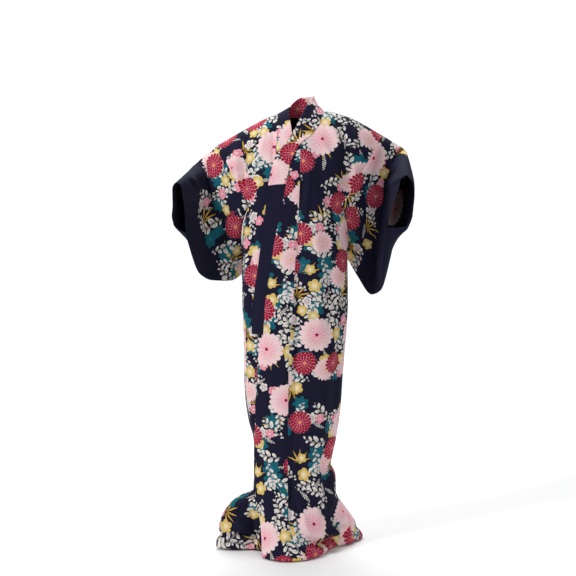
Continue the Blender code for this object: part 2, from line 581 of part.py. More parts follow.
def main():
    for thing in list(bpy.data.objects):
        bpy.data.objects.remove(thing, do_unlink=True)
    collection = bpy.data.collections.new("cotton_yukata")
    bpy.context.scene.collection.children.link(collection)
    printed = make_material("printed navy cotton", (0.035, 0.04, 0.085), 0.85)
    plain = make_material("plain navy cotton", (0.02, 0.024, 0.055), 0.85)

    pieces = {"collar": collar_grid()}
    for side in (1, -1):
        pieces[("panel", side)] = body_panel_grid(side)
        pieces[("okumi", side)] = okumi_grid(side)
        pieces[("sleeve", side)] = sleeve_grid(side)
    normals = {key: grid_normals(grid, closed=key[0] == "sleeve") for key, grid in pieces.items()}
    sew(pieces, normals)

    for side in (1, -1):
        name = "left" if side > 0 else "right"
        for key, node in (("panel", "_body_panel"), ("okumi", "_overlap"), ("sleeve", "_sleeve")):
            cloth_wall(name + node, pieces[(key, side)], normals[(key, side)], CLOTH, printed, collection,
                       closed=key == "sleeve")
    cloth_wall("collar", pieces["collar"], normals["collar"], BAND, plain, collection)
    wrap = over_collar_grid(pieces["collar"], normals["collar"])
    cloth_wall("over_collar", wrap, grid_normals(wrap), WRAP, printed, collection)


main()
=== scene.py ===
import math

import bpy
import numpy as np
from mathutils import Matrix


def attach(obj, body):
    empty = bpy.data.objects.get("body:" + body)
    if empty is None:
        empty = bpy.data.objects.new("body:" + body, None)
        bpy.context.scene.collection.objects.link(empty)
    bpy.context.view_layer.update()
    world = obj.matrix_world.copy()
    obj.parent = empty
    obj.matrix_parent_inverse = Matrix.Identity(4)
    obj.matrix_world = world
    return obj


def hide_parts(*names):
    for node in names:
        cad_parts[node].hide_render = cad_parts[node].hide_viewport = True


# Women's cotton yukata, worn open. Metres, +Z up; the wearer faces -Y and the wearer's left is +X.
# Each cloth piece is a thin shell on its solid's form, with creases laid over it and the print on its
# flat cut.

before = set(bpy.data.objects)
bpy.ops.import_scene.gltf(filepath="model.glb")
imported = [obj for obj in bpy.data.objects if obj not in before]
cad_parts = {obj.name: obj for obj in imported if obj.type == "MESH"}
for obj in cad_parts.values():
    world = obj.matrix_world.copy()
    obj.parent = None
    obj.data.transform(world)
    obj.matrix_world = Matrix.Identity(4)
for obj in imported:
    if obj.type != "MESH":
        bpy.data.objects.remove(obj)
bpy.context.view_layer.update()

CLOTH = 0.0008            # thickness of one layer of cotton
BAND = 0.0020             # the main collar is folded double
WRAP = 0.0008             # the over-collar's single layer
SEAM_GAP = 0.0001         # the sewn edges all but touch
FLOOR = -1.395            # the shoulders stand this far above the floor
UNDERARM = -0.30
SLIT_END = -0.43          # the open side slit below the sleeve ends here
COLLAR_END = -0.70        # lower end of the collar band
ARM_TURN = 60.0           # turn from centre front or back at which the armhole starts
SIDE_TURN = 90.0          # turn of the side seam
NAPE_RISE = 24 / 90       # where the neck curve meets the centre-back seam
ROUND = 0.87              # exponent of the body's squarish ring
RING_RADIUS = 0.14        # the ring's mean radius, to turn degrees into width of cloth
FRONT_CURVE = 1.05        # exponent of the front's curve from the shoulder line down
BACK_CURVE = 0.62         # the same for the middle of the back
LAYER_GAP = 0.0095        # the left front lies this far outside the right front
POINT_WIDTH = 0.002       # width of the overlap panel's pointed top
HALVINGS = 40             # steps of the search for an edge
SHARP_FROM = 60.0         # degrees between faces at which an edge stays sharp
UNDER, OVER = 0, 1
FRONT, BACK = -1, 1
# A side is +1 for the wearer's left and -1 for the right.
SIDE_NAME = {1: "left", -1: "right"}
LAYER = {1: OVER, -1: UNDER}


class Table:
    """Rows of named columns, read between rows along a smooth curve that never overshoots."""

    def __init__(self, names, rows):
        self.names = names.split()
        self.rows = np.array(sorted(rows), float)
        rates = np.diff(self.rows, axis=0) / np.diff(self.rows[:, 0])[:, None]
        self.slopes = np.zeros_like(self.rows)
        self.slopes[0], self.slopes[-1] = rates[0], rates[-1]
        same = rates[1:] * rates[:-1] > 0
        total = np.where(same, rates[1:] + rates[:-1], 1.0)
        self.slopes[1:-1] = np.where(same, 2 * rates[1:] * rates[:-1] / total, 0.0)

    def at(self, name, where):
        column = self.names.index(name)
        keys = self.rows[:, 0]
        where = min(max(where, keys[0]), keys[-1])
        first = min(int(np.searchsorted(keys, where, side="right")) - 1, len(keys) - 2)
        width = keys[first + 1] - keys[first]
        t = (where - keys[first]) / width
        low, high = self.rows[first, column], self.rows[first + 1, column]
        rise, fall = self.slopes[first, column] * width, self.slopes[first + 1, column] * width
        return (low * (1 + 2 * t) * (1 - t) ** 2 + rise * t * (1 - t) ** 2
                + high * t * t * (3 - 2 * t) - fall * t * t * (1 - t))

    def point(self, where):
        return np.array([self.at("x", where), self.at("y", where), self.at("z", where)])

def pair(names, left, right):
    """One table for each side."""
    return {1: Table(names, left), -1: Table(names, right)}


def records(names, rows):
    """Each row's values under their names."""
    return [dict(zip(names.split(), row)) for row in rows]


# The body's ring at each height, hanging straight from the shoulders and slim towards the floor.
BODY = Table("z centre half front back", [
    (-0.300, 0.002, 0.166, 0.122, 0.104),
    (-0.400, 0.001, 0.168, 0.124, 0.100),
    (-0.500, 0.000, 0.168, 0.120, 0.102),
    (-0.600, 0.001, 0.168, 0.122, 0.114),
    (-0.700, 0.000, 0.163, 0.124, 0.119),
    (-0.800, -0.005, 0.156, 0.122, 0.116),
    (-0.900, -0.008, 0.151, 0.118, 0.110),
    (-0.990, -0.007, 0.140, 0.114, 0.106),
    (-1.040, -0.004, 0.129, 0.110, 0.104),
    (-1.120, -0.010, 0.121, 0.106, 0.102),
    (-1.170, -0.004, 0.127, 0.106, 0.102),
    (-1.230, -0.004, 0.129, 0.108, 0.102),
    (-1.395, -0.008, 0.131, 0.112, 0.102),
])
# The line over the shoulders from the right sleeve seam (-1) to the left one (+1).
SHOULDER = Table("along x y z", [
    (-1.00, -0.245, 0.042, -0.107),
    (-0.62, -0.155, 0.014, -0.058),
    (-0.38, -0.094, 0.003, -0.027),
    (-0.22, -0.052, 0.000, -0.012),
    (0.00, 0.020, 0.000, -0.004),
    (0.30, 0.091, 0.000, -0.003),
    (0.62, 0.172, 0.008, -0.021),
    (0.80, 0.226, 0.020, -0.047),
    (1.00, 0.280, 0.042, -0.076),
])
NECK_SIDE = {1: 0.30, -1: -0.22}    # where along the shoulder line the neck opening ends
# Sideways place of each long edge and seam of the two fronts, at each height.
COLLAR_SEAM = pair("z x", left=[
    (0.000, 0.091), (-0.012, 0.088), (-0.044, 0.078), (-0.080, 0.053), (-0.109, 0.0176), (-0.173, -0.0144),
    (-0.237, -0.027), (-0.328, -0.046), (-0.429, -0.066), (-0.525, -0.080), (-0.576, -0.090), (-0.700, -0.098),
], right=[
    (0.000, -0.052), (-0.026, -0.053), (-0.077, -0.056), (-0.112, -0.057), (-0.200, -0.044), (-0.300, -0.014),
    (-0.450, 0.026), (-0.600, 0.056), (-0.700, 0.070),
])
COLLAR_EDGE = pair("z x", left=[
    (-0.109, -0.026), (-0.150, -0.059), (-0.224, -0.078), (-0.330, -0.093), (-0.429, -0.106),
    (-0.502, -0.117), (-0.566, -0.128), (-0.640, -0.135), (-0.700, -0.133),
], right=[
    (-0.109, -0.005), (-0.150, 0.004), (-0.200, 0.014), (-0.300, 0.042), (-0.450, 0.082), (-0.600, 0.110),
    (-0.700, 0.120),
])
OKUMI_SEAM = pair("z x", left=[
    (-0.109, 0.0176), (-0.200, 0.0160), (-0.336, 0.0110), (-0.480, 0.0010), (-0.576, -0.004), (-0.660, -0.010),
    (-0.780, -0.019), (-1.210, -0.022), (-1.270, -0.020), (-1.345, 0.000), (-1.370, 0.022), (-1.395, 0.045),
], right=[
    (-0.109, -0.057), (-0.200, -0.052), (-0.300, -0.036), (-0.450, -0.012), (-0.600, 0.004), (-0.850, 0.018),
    (-1.000, 0.018), (-1.395, 0.016),
])
FREE_EDGE = pair("z x", left=[
    (-0.700, -0.099), (-0.740, -0.110), (-0.813, -0.117), (-0.886, -0.120), (-0.920, -0.124), (-1.240, -0.122),
    (-1.300, -0.108), (-1.395, -0.102),
], right=[
    (-0.700, 0.071), (-0.760, 0.090), (-0.900, 0.094), (-1.000, 0.088), (-1.395, 0.080),
])
# The free edge of the collar round the neck, from the left front over the nape to the right front.
NECK_EDGE = Table("along x y z", [
    (-1.00, -0.026, -0.091, -0.078), (-0.75, 0.0176, -0.060, -0.0128), (-0.50, 0.042, -0.028, 0.020),
    (-0.25, 0.060, 0.008, 0.044), (0.00, 0.024, 0.056, 0.044), (0.25, -0.014, 0.030, 0.014),
    (0.50, -0.022, -0.014, 0.002), (0.75, -0.014, -0.052, -0.024), (1.00, -0.005, -0.082, -0.070)])

# Soft outward lobes of the pooled hem. Turn is degrees round the body from centre front, + to the left.
LOBES = records("turn reach right_spread left_spread rise roundness layers", (
    (-76.0, 0.118, 30.0, 14.0, 0.168, 2.6, (UNDER,)),
    (-4.0, 0.092, 36.0, 36.0, 0.220, 0.75, (OVER,)),
    (-2.0, 0.070, 34.0, 34.0, 0.220, 0.75, (UNDER,)),
    (110.0, 0.118, 26.0, 26.0, 0.165, 1.15, (UNDER, OVER)),
    (172.0, 0.082, 24.0, 24.0, 0.170, 1.9, (UNDER, OVER)),
    (-138.0, 0.066, 20.0, 20.0, 0.150, 2.2, (UNDER,)),
))
# Upright folds of the body. Depth is outwards; the top and bottom turns say how each one leans.
FOLDS = records("top bottom top_turn bottom_turn width depth", (
    (-0.34, -1.32, 6.0, -4.0, 0.014, -0.0060),
    (-0.60, -1.34, 38.0, 30.0, 0.020, 0.0070),
    (-0.42, -1.30, 62.0, 52.0, 0.022, -0.0070),
    (-0.50, -1.24, -64.0, -58.0, 0.020, 0.0060),
    (-0.45, -1.30, 124.0, 120.0, 0.024, -0.0080),
    (-0.40, -1.28, 146.0, 150.0, 0.022, 0.0070),
    (-0.46, -1.30, 176.0, 174.0, 0.020, -0.0070),
    (-0.42, -1.28, -152.0, -150.0, 0.024, 0.0080),
    (-0.50, -1.30, -124.0, -122.0, 0.022, -0.0070),
))
# Level breaks where the surplus length buckles above the floor.
BREAKS = records("turn spread height width depth", (
    (-76.0, 30.0, 0.048, 0.012, -0.012),
    (112.0, 24.0, 0.040, 0.012, -0.008),
    (172.0, 26.0, 0.055, 0.014, -0.010),
    (70.0, 22.0, 0.262, 0.016, -0.010),
))
# How far the hem turns in under the pool, at each turn, and the share of it at each height.
TUCK = Table("turn inward", [
    (-180, 0.045), (-110, 0.050), (-84, 0.060), (-50, 0.030), (0, 0.020), (60, 0.020), (112, 0.030),
    (180, 0.045)])
TUCK_TOP = -1.386
TUCK_SHARE = Table("z share", [(TUCK_TOP, 0.0), (-1.389, 0.12), (-1.392, 0.5), (-1.3945, 1.0)])

# The top line of each sleeve from its body seam (0) to the wrist opening (1). Front and back say how far
# each layer stands off the line over the arm.
ARM = pair("along x y z front back", left=[
    (0.00, 0.280, 0.042, -0.076, 0.044, 0.044), (0.18, 0.322, 0.058, -0.099, 0.042, 0.036),
    (0.34, 0.351, 0.046, -0.121, 0.036, 0.018), (0.52, 0.353, -0.004, -0.146, 0.028, 0.012),
    (0.76, 0.345, -0.075, -0.178, 0.018, 0.012), (1.00, 0.342, -0.135, -0.208, 0.006, 0.010),
], right=[
    (0.00, -0.245, 0.042, -0.107, 0.044, 0.044), (0.18, -0.284, 0.060, -0.136, 0.042, 0.040),
    (0.34, -0.310, 0.048, -0.160, 0.036, 0.022), (0.52, -0.326, -0.004, -0.184, 0.028, 0.014),
    (0.76, -0.344, -0.075, -0.208, 0.018, 0.012), (1.00, -0.362, -0.135, -0.230, 0.008, 0.010),
])
# The bottom line of each sleeve, from its inner lower corner (0) round to the wrist opening's lower end (1).
BAG = pair("along x y z", left=[
    (0.00, 0.160, 0.070, -0.450), (0.20, 0.202, 0.046, -0.524), (0.38, 0.246, 0.008, -0.584),
    (0.52, 0.274, -0.040, -0.562), (0.66, 0.275, -0.080, -0.500), (0.82, 0.275, -0.100, -0.430),
    (1.00, 0.282, -0.116, -0.370),
], right=[
    (0.00, -0.158, 0.070, -0.512), (0.20, -0.208, 0.042, -0.542), (0.38, -0.264, 0.002, -0.538),
    (0.52, -0.300, -0.040, -0.514), (0.66, -0.315, -0.078, -0.470), (0.82, -0.327, -0.100, -0.424),
    (1.00, -0.338, -0.116, -0.384),
])
# How far each layer swings away from the straight hang at the wrist opening, from its top to its lower end.
WRIST_SWING = Table("level left_front left_back right_front right_back", [
    (0.00, 0.000, 0.000, 0.000, 0.000), (0.20, 0.000, 0.022, 0.002, 0.008), (0.45, 0.000, 0.042, 0.004, 0.018),
    (0.70, 0.000, 0.056, 0.002, 0.030), (0.82, 0.000, 0.055, 0.000, 0.030), (0.92, 0.000, 0.030, 0.000, 0.018),
    (1.00, 0.000, 0.000, 0.000, 0.000)])
BAG_DEPTH = 0.010         # half the space between a sleeve's two layers
ARM_SHARE = 0.14          # share of the drop that lies over the arm
DROP_ATTACHED = 0.47      # share of the sleeve's drop that is sewn to the body
EDGE_BOW = 0.021          # how far a sleeve's free inner edge bows away from the body
EVEN_DROP = 0.9           # exponent that spreads a sleeve's drop over its armhole
FACE_NAME = {FRONT: "front", BACK: "back"}


def finer(values, count):
    """The same steps, each split into count even parts."""
    split = [a + (b - a) * i / count for a, b in zip(values, values[1:]) for i in range(count)]
    split[::count] = values[:-1]
    return split + [values[-1]]


UPPER_FRONT = finer([d / 90 for d in (0, 12, 22, 30, 36, 42, 48, 56, 66, 76, 90)], 5)
UPPER_BACK = finer([d / 90 for d in (0, 8, 14, 18, 21, 24, 36, 50, 64, 78, 90)], 5)
POINT_ROW = 48 / 90       # the overlap panel's point
OVER_COLLAR_ROW = 76 / 90  # lower end of the over-collar on each front
HEIGHTS = finer([UNDERARM, -0.34, -0.38, -0.43, -0.49, -0.56, -0.63, -0.70, -0.77, -0.84, -0.91, -0.98, -1.04,
                 -1.09, -1.135, -1.175, -1.21, -1.24, -1.265, -1.295, -1.325, -1.345, -1.360, -1.375,
                 TUCK_TOP, -1.389, -1.392, -1.3945], 5)[1:]
SKIRT = [1 + UNDERARM - z for z in HEIGHTS]
SHOULDER_ROW = len(UPPER_BACK) - 1 + len(SKIRT)      # a body panel's row on the shoulder line
PANEL_COLUMNS, OKUMI_COLUMNS, COLLAR_COLUMNS = 54, 30, 12
FREE_SHARES = finer([DROP_ATTACHED, 0.56, 0.66, 0.76, 0.86, 0.93, 0.98, 1.0], 5)[1:-1]
SLEEVE_CORNER = len(UPPER_BACK) + len(FREE_SHARES)   # the column of a sleeve's inner lower corner
SLEEVE_STEPS = finer([0.0, 0.08, 0.16, 0.24, 0.32, 0.40, 0.48, 0.57, 0.66, 0.75, 0.84, 0.91, 0.96, 1.0], 5)


def row_height(row):
    """The height of a row below the underarm."""
    return UNDERARM - (row - 1)


COLLAR_ROWS = [r for r in UPPER_FRONT + SKIRT if r >= POINT_ROW and row_height(r) >= COLLAR_END - 1e-6]


def smoothstep(low, high, value):
    t = min(max((value - low) / (high - low), 0.0), 1.0)
    return t * t * (3 - 2 * t)


def bell(distance, width):
    return math.exp(-(distance / width) ** 2)


def round_turn(turn, face):
    """Degrees round the body from centre front, for a turn measured from centre front or centre back."""
    if face == FRONT:
        return turn
    return (180 - turn) if turn >= 0 else (-180 - turn)


def turn_between(one, other):
    return (one - other + 180) % 360 - 180


def layer_gap(x, z):
    """How far the left front stands outside the right front. Past a line that runs down and outwards from
    the neck the gap closes."""
    line, fade = 0.015 + 0.115 * smoothstep(-0.05, -0.55, z), 0.05
    return LAYER_GAP * (1 - smoothstep(line, line + fade, x))


def hem_reach(around, height, layer):
    """How far the pooled hem reaches out at this place."""
    reach = 0.0
    for lobe in LOBES:
        if layer in lobe["layers"] and height < lobe["rise"]:
            share = (1 - (height / lobe["rise"]) ** lobe["roundness"]) ** (1 / lobe["roundness"])
            away = turn_between(around, lobe["turn"])
            reach += lobe["reach"] * share * bell(away, lobe["left_spread" if away > 0 else "right_spread"])
    return reach


def skirt_point(turn, face, z, layer, folded=True):
    """A point of the body below the underarm."""
    z = max(z, FLOOR)
    side, ahead = math.sin(math.radians(turn)), math.cos(math.radians(turn))
    x = BODY.at("centre", z) + BODY.at("half", z) * math.copysign(abs(side) ** ROUND, side)
    y = face * BODY.at(FACE_NAME[face], z) * abs(ahead) ** ROUND
    around, height = round_turn(turn, face), z - FLOOR
    out = hem_reach(around, height, layer)
    if layer == OVER and face == FRONT:
        out += layer_gap(x, z)
    if z < TUCK_TOP:
        out -= TUCK.at("inward", around) * TUCK_SHARE.at("share", z)
    if folded:
        for fold in FOLDS:
            if fold["bottom"] < z < fold["top"]:
                share = (fold["top"] - z) / (fold["top"] - fold["bottom"])
                centre = fold["top_turn"] + (fold["bottom_turn"] - fold["top_turn"]) * share
                away = math.radians(turn_between(around, centre)) * RING_RADIUS
                out += fold["depth"] * math.sin(math.pi * share) ** 0.6 * bell(away, fold["width"])
        for crease in BREAKS:
            out += (crease["depth"] * bell(height - crease["height"], crease["width"])
                    * bell(turn_between(around, crease["turn"]), crease["spread"]))
    return np.array([x, y, z]) + np.array([side, face * ahead, 0.0]) * out


def body_point(turn, face, row, layer, folded=True):
    """A point of the body. Row runs from 0 on the shoulder line to 1 at the underarm, then grows by 1 for
    each metre down."""
    if row >= 1:
        return skirt_point(turn, face, row_height(row), layer, folded)
    foot = skirt_point(turn, face, UNDERARM, layer, folded)
    top = SHOULDER.point(turn / ARM_TURN)
    curve = FRONT_CURVE if face == FRONT else BACK_CURVE + 0.3 * smoothstep(5, 40, abs(turn))
    angle = row * math.pi / 2
    out = math.sin(angle) ** curve
    down = 1 - math.cos(angle) ** curve
    point = top + (foot - top) * np.array([down, out, down])
    gap = layer_gap(foot[0], UNDERARM) if (layer == OVER and face == FRONT) else 0.0
    if gap:
        point[1] -= layer_gap(point[0], point[2]) * min(1.0, 2 * math.sin(angle)) - gap * out
    return point


def turn_at(edge, row, layer):
    """The turn at which a front's row crosses an edge given by its sideways place."""
    high = ARM_TURN if row < 1 else SIDE_TURN
    low = -high
    for _ in range(HALVINGS):
        middle = (low + high) / 2
        point = body_point(middle, FRONT, row, layer, folded=False)
        if point[0] < edge.at("x", point[2]):
            low = middle
        else:
            high = middle
    return (low + high) / 2


def side_turn(row):
    """The turn of a panel's outer edge: the armhole, then the open slit, then the side seam."""
    if row <= 1:
        return ARM_TURN
    return ARM_TURN + (SIDE_TURN - ARM_TURN) * smoothstep(UNDERARM, SLIT_END, row_height(row)) ** 0.7


def neck_turn(side, row):
    """The turn of a back panel's inner edge: the neck curve, then the centre-back seam."""
    if row >= NAPE_RISE:
        return 0.0
    share = (math.sin(row * math.pi / 2) / math.sin(NAPE_RISE * math.pi / 2)) ** BACK_CURVE
    return NECK_SIDE[side] * ARM_TURN * math.sqrt(max(0.0, 1 - share * share))


def spread_row(first, last, count, face, row, layer):
    """Points of one row, evenly spread between two turns."""
    return [body_point(first + (last - first) * i / count, face, row, layer) for i in range(count + 1)]


def okumi_seam_turn(side, row):
    """The seam between overlap and body panel; it never closes on the collar seam."""
    turn = side * turn_at(OKUMI_SEAM[side], row, LAYER[side])
    if row_height(row) >= COLLAR_END:
        collar = side * turn_at(COLLAR_SEAM[side], row, LAYER[side])
        turn = max(turn, collar + math.degrees(POINT_WIDTH / RING_RADIUS))
    return side * turn


def front_inner_turn(side, row):
    """Inner edge of a body panel's front: the collar seam, then the overlap seam."""
    if row == 0:
        return NECK_SIDE[side] * ARM_TURN
    if row < POINT_ROW:
        return turn_at(COLLAR_SEAM[side], row, LAYER[side])
    return okumi_seam_turn(side, row)


def body_panel_grid(side):
    """Up the back, over the shoulder and down the front; columns run towards +X."""
    def row_points(inner, face, row):
        return spread_row(inner, side * side_turn(row), PANEL_COLUMNS, face, row, LAYER[side])

    grid = np.array([row_points(neck_turn(side, row), BACK, row) for row in reversed(UPPER_BACK[1:] + SKIRT)]
                    + [row_points(front_inner_turn(side, row), FRONT, row) for row in UPPER_FRONT + SKIRT])
    return grid if side > 0 else grid[:, ::-1]


def okumi_grid(side):
    """The overlap panel of one front, from its pointed top to the hem; columns run towards +X."""
    layer, rows = LAYER[side], []
    for row in [r for r in UPPER_FRONT if r >= POINT_ROW] + SKIRT:
        edge = FREE_EDGE if row_height(row) < COLLAR_END else COLLAR_SEAM
        outer = turn_at(edge[side], row, layer)
        rows.append(spread_row(outer, okumi_seam_turn(side, row), OKUMI_COLUMNS, FRONT, row, layer))
    grid = np.array(rows)
    return grid if side > 0 else grid[:, ::-1]


def collar_grid():
    """The collar band from the left front's lower end, round the nape, to the right front's."""
    fronts, neck = {}, {}
    for side, layer in LAYER.items():
        seam, edge = COLLAR_SEAM[side], COLLAR_EDGE[side]
        fronts[side] = [spread_row(turn_at(seam, row, layer), turn_at(edge, row, layer), COLLAR_COLUMNS,
                                   FRONT, row, layer) for row in COLLAR_ROWS]
        neck[side] = ([body_point(turn_at(seam, row, layer), FRONT, row, layer)
                       for row in reversed(UPPER_FRONT) if 0 < row < POINT_ROW]
                      + [body_point(neck_turn(side, 0), FRONT, 0, layer)]
                      + [body_point(neck_turn(side, row), BACK, row, layer)
                         for row in UPPER_BACK[1:] if row < NAPE_RISE])
    nape = body_point(0, BACK, NAPE_RISE, UNDER)
    joined = [fronts[1][0][0]] + neck[1] + [nape] + neck[-1][::-1] + [fronts[-1][0][0]]
    length = np.concatenate([[0], np.cumsum([np.linalg.norm(b - a) for a, b in zip(joined, joined[1:])])])
    middle = length[1 + len(neck[1])]
    start, end = fronts[1][0][-1], fronts[-1][0][-1]
    stations = []
    for place, point in list(zip(length, joined))[1:-1]:
        along = (place - middle) / (middle if place < middle else length[-1] - middle)
        free = NECK_EDGE.point(along)
        free = free + (start - NECK_EDGE.point(-1)) * smoothstep(-0.4, -1.0, along)
        free = free + (end - NECK_EDGE.point(1)) * smoothstep(0.4, 1.0, along)
        stations.append([point + (free - point) * i / COLLAR_COLUMNS for i in range(COLLAR_COLUMNS + 1)])
    return np.array(fronts[1][::-1] + stations + fronts[-1])


def sleeve_grid(side):
    """A sleeve from its body edge to the wrist opening; each row is a ring, down one layer and up the
    other."""
    layer, arm, bag = LAYER[side], ARM[side], BAG[side]
    corner = bag.point(0)
    first, second = (BACK, FRONT) if side > 0 else (FRONT, BACK)
    uppers = {FRONT: UPPER_FRONT, BACK: UPPER_BACK}

    def hanging_edge(face):
        """The sleeve's own edge below the armhole, down to its inner lower corner."""
        under = body_point(side * ARM_TURN, face, 1, layer)
        hang = []
        for share in FREE_SHARES:
            t = (share - DROP_ATTACHED) / (1 - DROP_ATTACHED)
            bow = side * EDGE_BOW * math.sin(math.pi * t ** 0.8)
            depth = face * BAG_DEPTH * math.sqrt(1 - share ** 8) * 0.8
            hang.append(under + (corner - under) * np.array([t, t ** 0.9, t]) + np.array([bow, depth * t, 0]))
        return hang

    sewn = {face: [body_point(side * ARM_TURN, face, row, layer) for row in rows]
            for face, rows in uppers.items()}
    sewn_shares = {face: [DROP_ATTACHED * row ** EVEN_DROP for row in rows] for face, rows in uppers.items()}
    edge = sewn[first] + hanging_edge(first) + [corner] + hanging_edge(second)[::-1] + sewn[second][:0:-1]
    shares = sewn_shares[first] + FREE_SHARES + [1.0] + FREE_SHARES[::-1] + sewn_shares[second][:0:-1]
    faces = [first] * (len(uppers[first]) + len(FREE_SHARES) + 1)
    faces += [second] * (len(shares) - len(faces))
    tops = np.array([arm.point(along) for along in SLEEVE_STEPS])
    drops = np.array([bag.point(along) for along in SLEEVE_STEPS]) - tops
    outwards = []
    for share in shares:
        onwards = np.gradient(tops + drops * share * 0.6, axis=0) * (1, 1, 0)
        forwards = np.cross(onwards, drops) * -side
        outwards.append(forwards / np.linalg.norm(forwards, axis=1, keepdims=True))
    rows = []
    for number, along in enumerate(SLEEVE_STEPS):
        top, drop = tops[number], drops[number]
        ring = []
        for share, face, rim, forwards in zip(shares, faces, edge, outwards):
            wrap = math.sqrt(1 - (1 - min(share / ARM_SHARE, 1.0)) ** 2)
            depth = BAG_DEPTH * (1 - 0.5 * smoothstep(0.5, 1.0, along)) * math.sqrt(1 - share ** 8)
            reach = wrap * (arm.at(FACE_NAME[face], along) * (1 - share) ** 1.6 + depth)
            level = share * (0.5 + 0.5 * drop[2] / (bag.point(1)[2] - top[2]))
            swing = WRIST_SWING.at(SIDE_NAME[side] + "_" + FACE_NAME[face], level)
            swing *= smoothstep(0.40, 0.95, along)
            hung = top + drop * share - face * forwards[number] * (reach + swing)
            near = rim + (top - tops[0]) * (1 - share) + (top + drop - corner) * share
            ring.append(near + (hung - near) * smoothstep(0.0, 0.36, along))
        rows.append(ring)
    return np.array(rows)


def grid_normals(grid, closed=False):
    """Unit normals of a grid of points, each the mean of the faces round it; a closed grid's columns run in
    a ring."""
    ahead = np.concatenate([grid, grid[:, :1]], axis=1) if closed else grid
    faces = np.cross(ahead[1:, 1:] - ahead[:-1, :-1], ahead[:-1, 1:] - ahead[1:, :-1])
    faces /= np.maximum(np.linalg.norm(faces, axis=2, keepdims=True), 1e-12)
    around = np.pad(faces, ((1, 1), (0, 0), (0, 0)))
    if closed:
        around = np.concatenate([around[:, -1:], around], axis=1)
    else:
        around = np.pad(around, ((0, 0), (1, 1), (0, 0)))
    normals = around[1:, 1:] + around[1:, :-1] + around[:-1, 1:] + around[:-1, :-1]
    return normals / np.linalg.norm(normals, axis=2, keepdims=True)


def all_normals(pieces):
    return {key: grid_normals(grid, closed=key[0] == "sleeve") for key, grid in pieces.items()}


def share_normals(*edges):
    """Give the two sides of a seam one normal at each point, so that their rims stay parallel."""
    total = sum(np.array(edge) for edge in edges)
    total /= np.linalg.norm(total, axis=1, keepdims=True)
    for edge in edges:
        edge[:] = total


def draw_back(grid, edge, distance):
    """Move one border of a grid back along its surface, to leave its share of the seam gap."""
    border, inside = {"first": (grid[:, 0], grid[:, 1]), "last": (grid[:, -1], grid[:, -2]),
                      "top": (grid[0], grid[1]), "bottom": (grid[-1], grid[-2])}[edge]
    step = inside - border
    border += step / np.linalg.norm(step, axis=1, keepdims=True) * distance


def over_collar_grid(collar, normals):
    """The over-collar: out from the seam over the band's face, round its free edge and back inside."""
    lift = BAND / 2 + SEAM_GAP + WRAP / 2
    lower = len([row for row in COLLAR_ROWS if row > OVER_COLLAR_ROW])
    band, face = collar[lower:len(collar) - lower], normals[lower:len(collar) - lower]
    beyond = band[:, -1] - band[:, -2]
    beyond /= np.linalg.norm(beyond, axis=1, keepdims=True)
    columns = [band[:, j] + face[:, j] * lift for j in range(band.shape[1])]
    for turn in (45, 0, -45):
        angle = math.radians(turn)
        columns.append(band[:, -1] + (beyond * math.cos(angle) + face[:, -1] * math.sin(angle)) * lift)
    columns += [band[:, j] - face[:, j] * lift for j in range(band.shape[1] - 1, -1, -1)]
    return np.stack(columns, axis=1)


def sew(pieces, normals):
    """Share one normal along each seam and leave the seam gap between its two sides."""
    neck_back = len([r for r in UPPER_BACK if 0 < r < NAPE_RISE])
    neck_front = len([r for r in UPPER_FRONT if r < POINT_ROW])
    band_rows = len(COLLAR_ROWS)
    nape = band_rows + neck_front + neck_back
    side_seam = len([z for z in HEIGHTS if z <= SLIT_END])
    centre = SHOULDER_ROW - neck_back
    for side in (1, -1):
        panel, okumi, sleeve = (normals[(name, side)] for name in ("panel", "okumi", "sleeve"))
        inner, outer = (0, -1) if side > 0 else (-1, 0)
        band = normals["collar"][:, 0][::side]
        share_normals(okumi[:, outer], panel[SHOULDER_ROW + neck_front:, inner])
        share_normals(okumi[:band_rows, inner][::-1], band[:band_rows])
        share_normals(panel[centre:SHOULDER_ROW + neck_front, inner][::-1], band[band_rows:nape])
        share_normals(panel[:side_seam, outer], panel[len(panel) - side_seam:, outer][::-1])
        front_edge = panel[SHOULDER_ROW:SHOULDER_ROW + len(UPPER_FRONT), outer]
        back_edge = panel[SHOULDER_ROW + 1 - len(UPPER_BACK):SHOULDER_ROW + 1, outer][::-1]
        first, second = (back_edge, front_edge) if side > 0 else (front_edge, back_edge)
        share_normals(first, sleeve[0, :len(first)])
        share_normals(second[1:][::-1], sleeve[0, 1 - len(second):])
    left, right = normals[("panel", 1)], normals[("panel", -1)]
    share_normals(left[:centre, 0], right[:centre, -1])
    share_normals(normals["collar"][nape:nape + 1, 0], left[centre - 1:centre, 0],
                  right[centre - 1:centre, -1])
    half = SEAM_GAP / 2
    for side in (1, -1):
        for edge in ("first", "last"):
            draw_back(pieces[("panel", side)], edge, half)
            draw_back(pieces[("okumi", side)], edge, half)
        draw_back(pieces[("sleeve", side)], "top", SEAM_GAP)
    draw_back(pieces["collar"], "first", half)


CREASE_STRENGTH = 1.8
CREASE_LEGS = 14          # straight legs that stand for a crease's curve
CREASE_COLUMNS = "x0 z0 x1 z1 x2 z2 width depth"
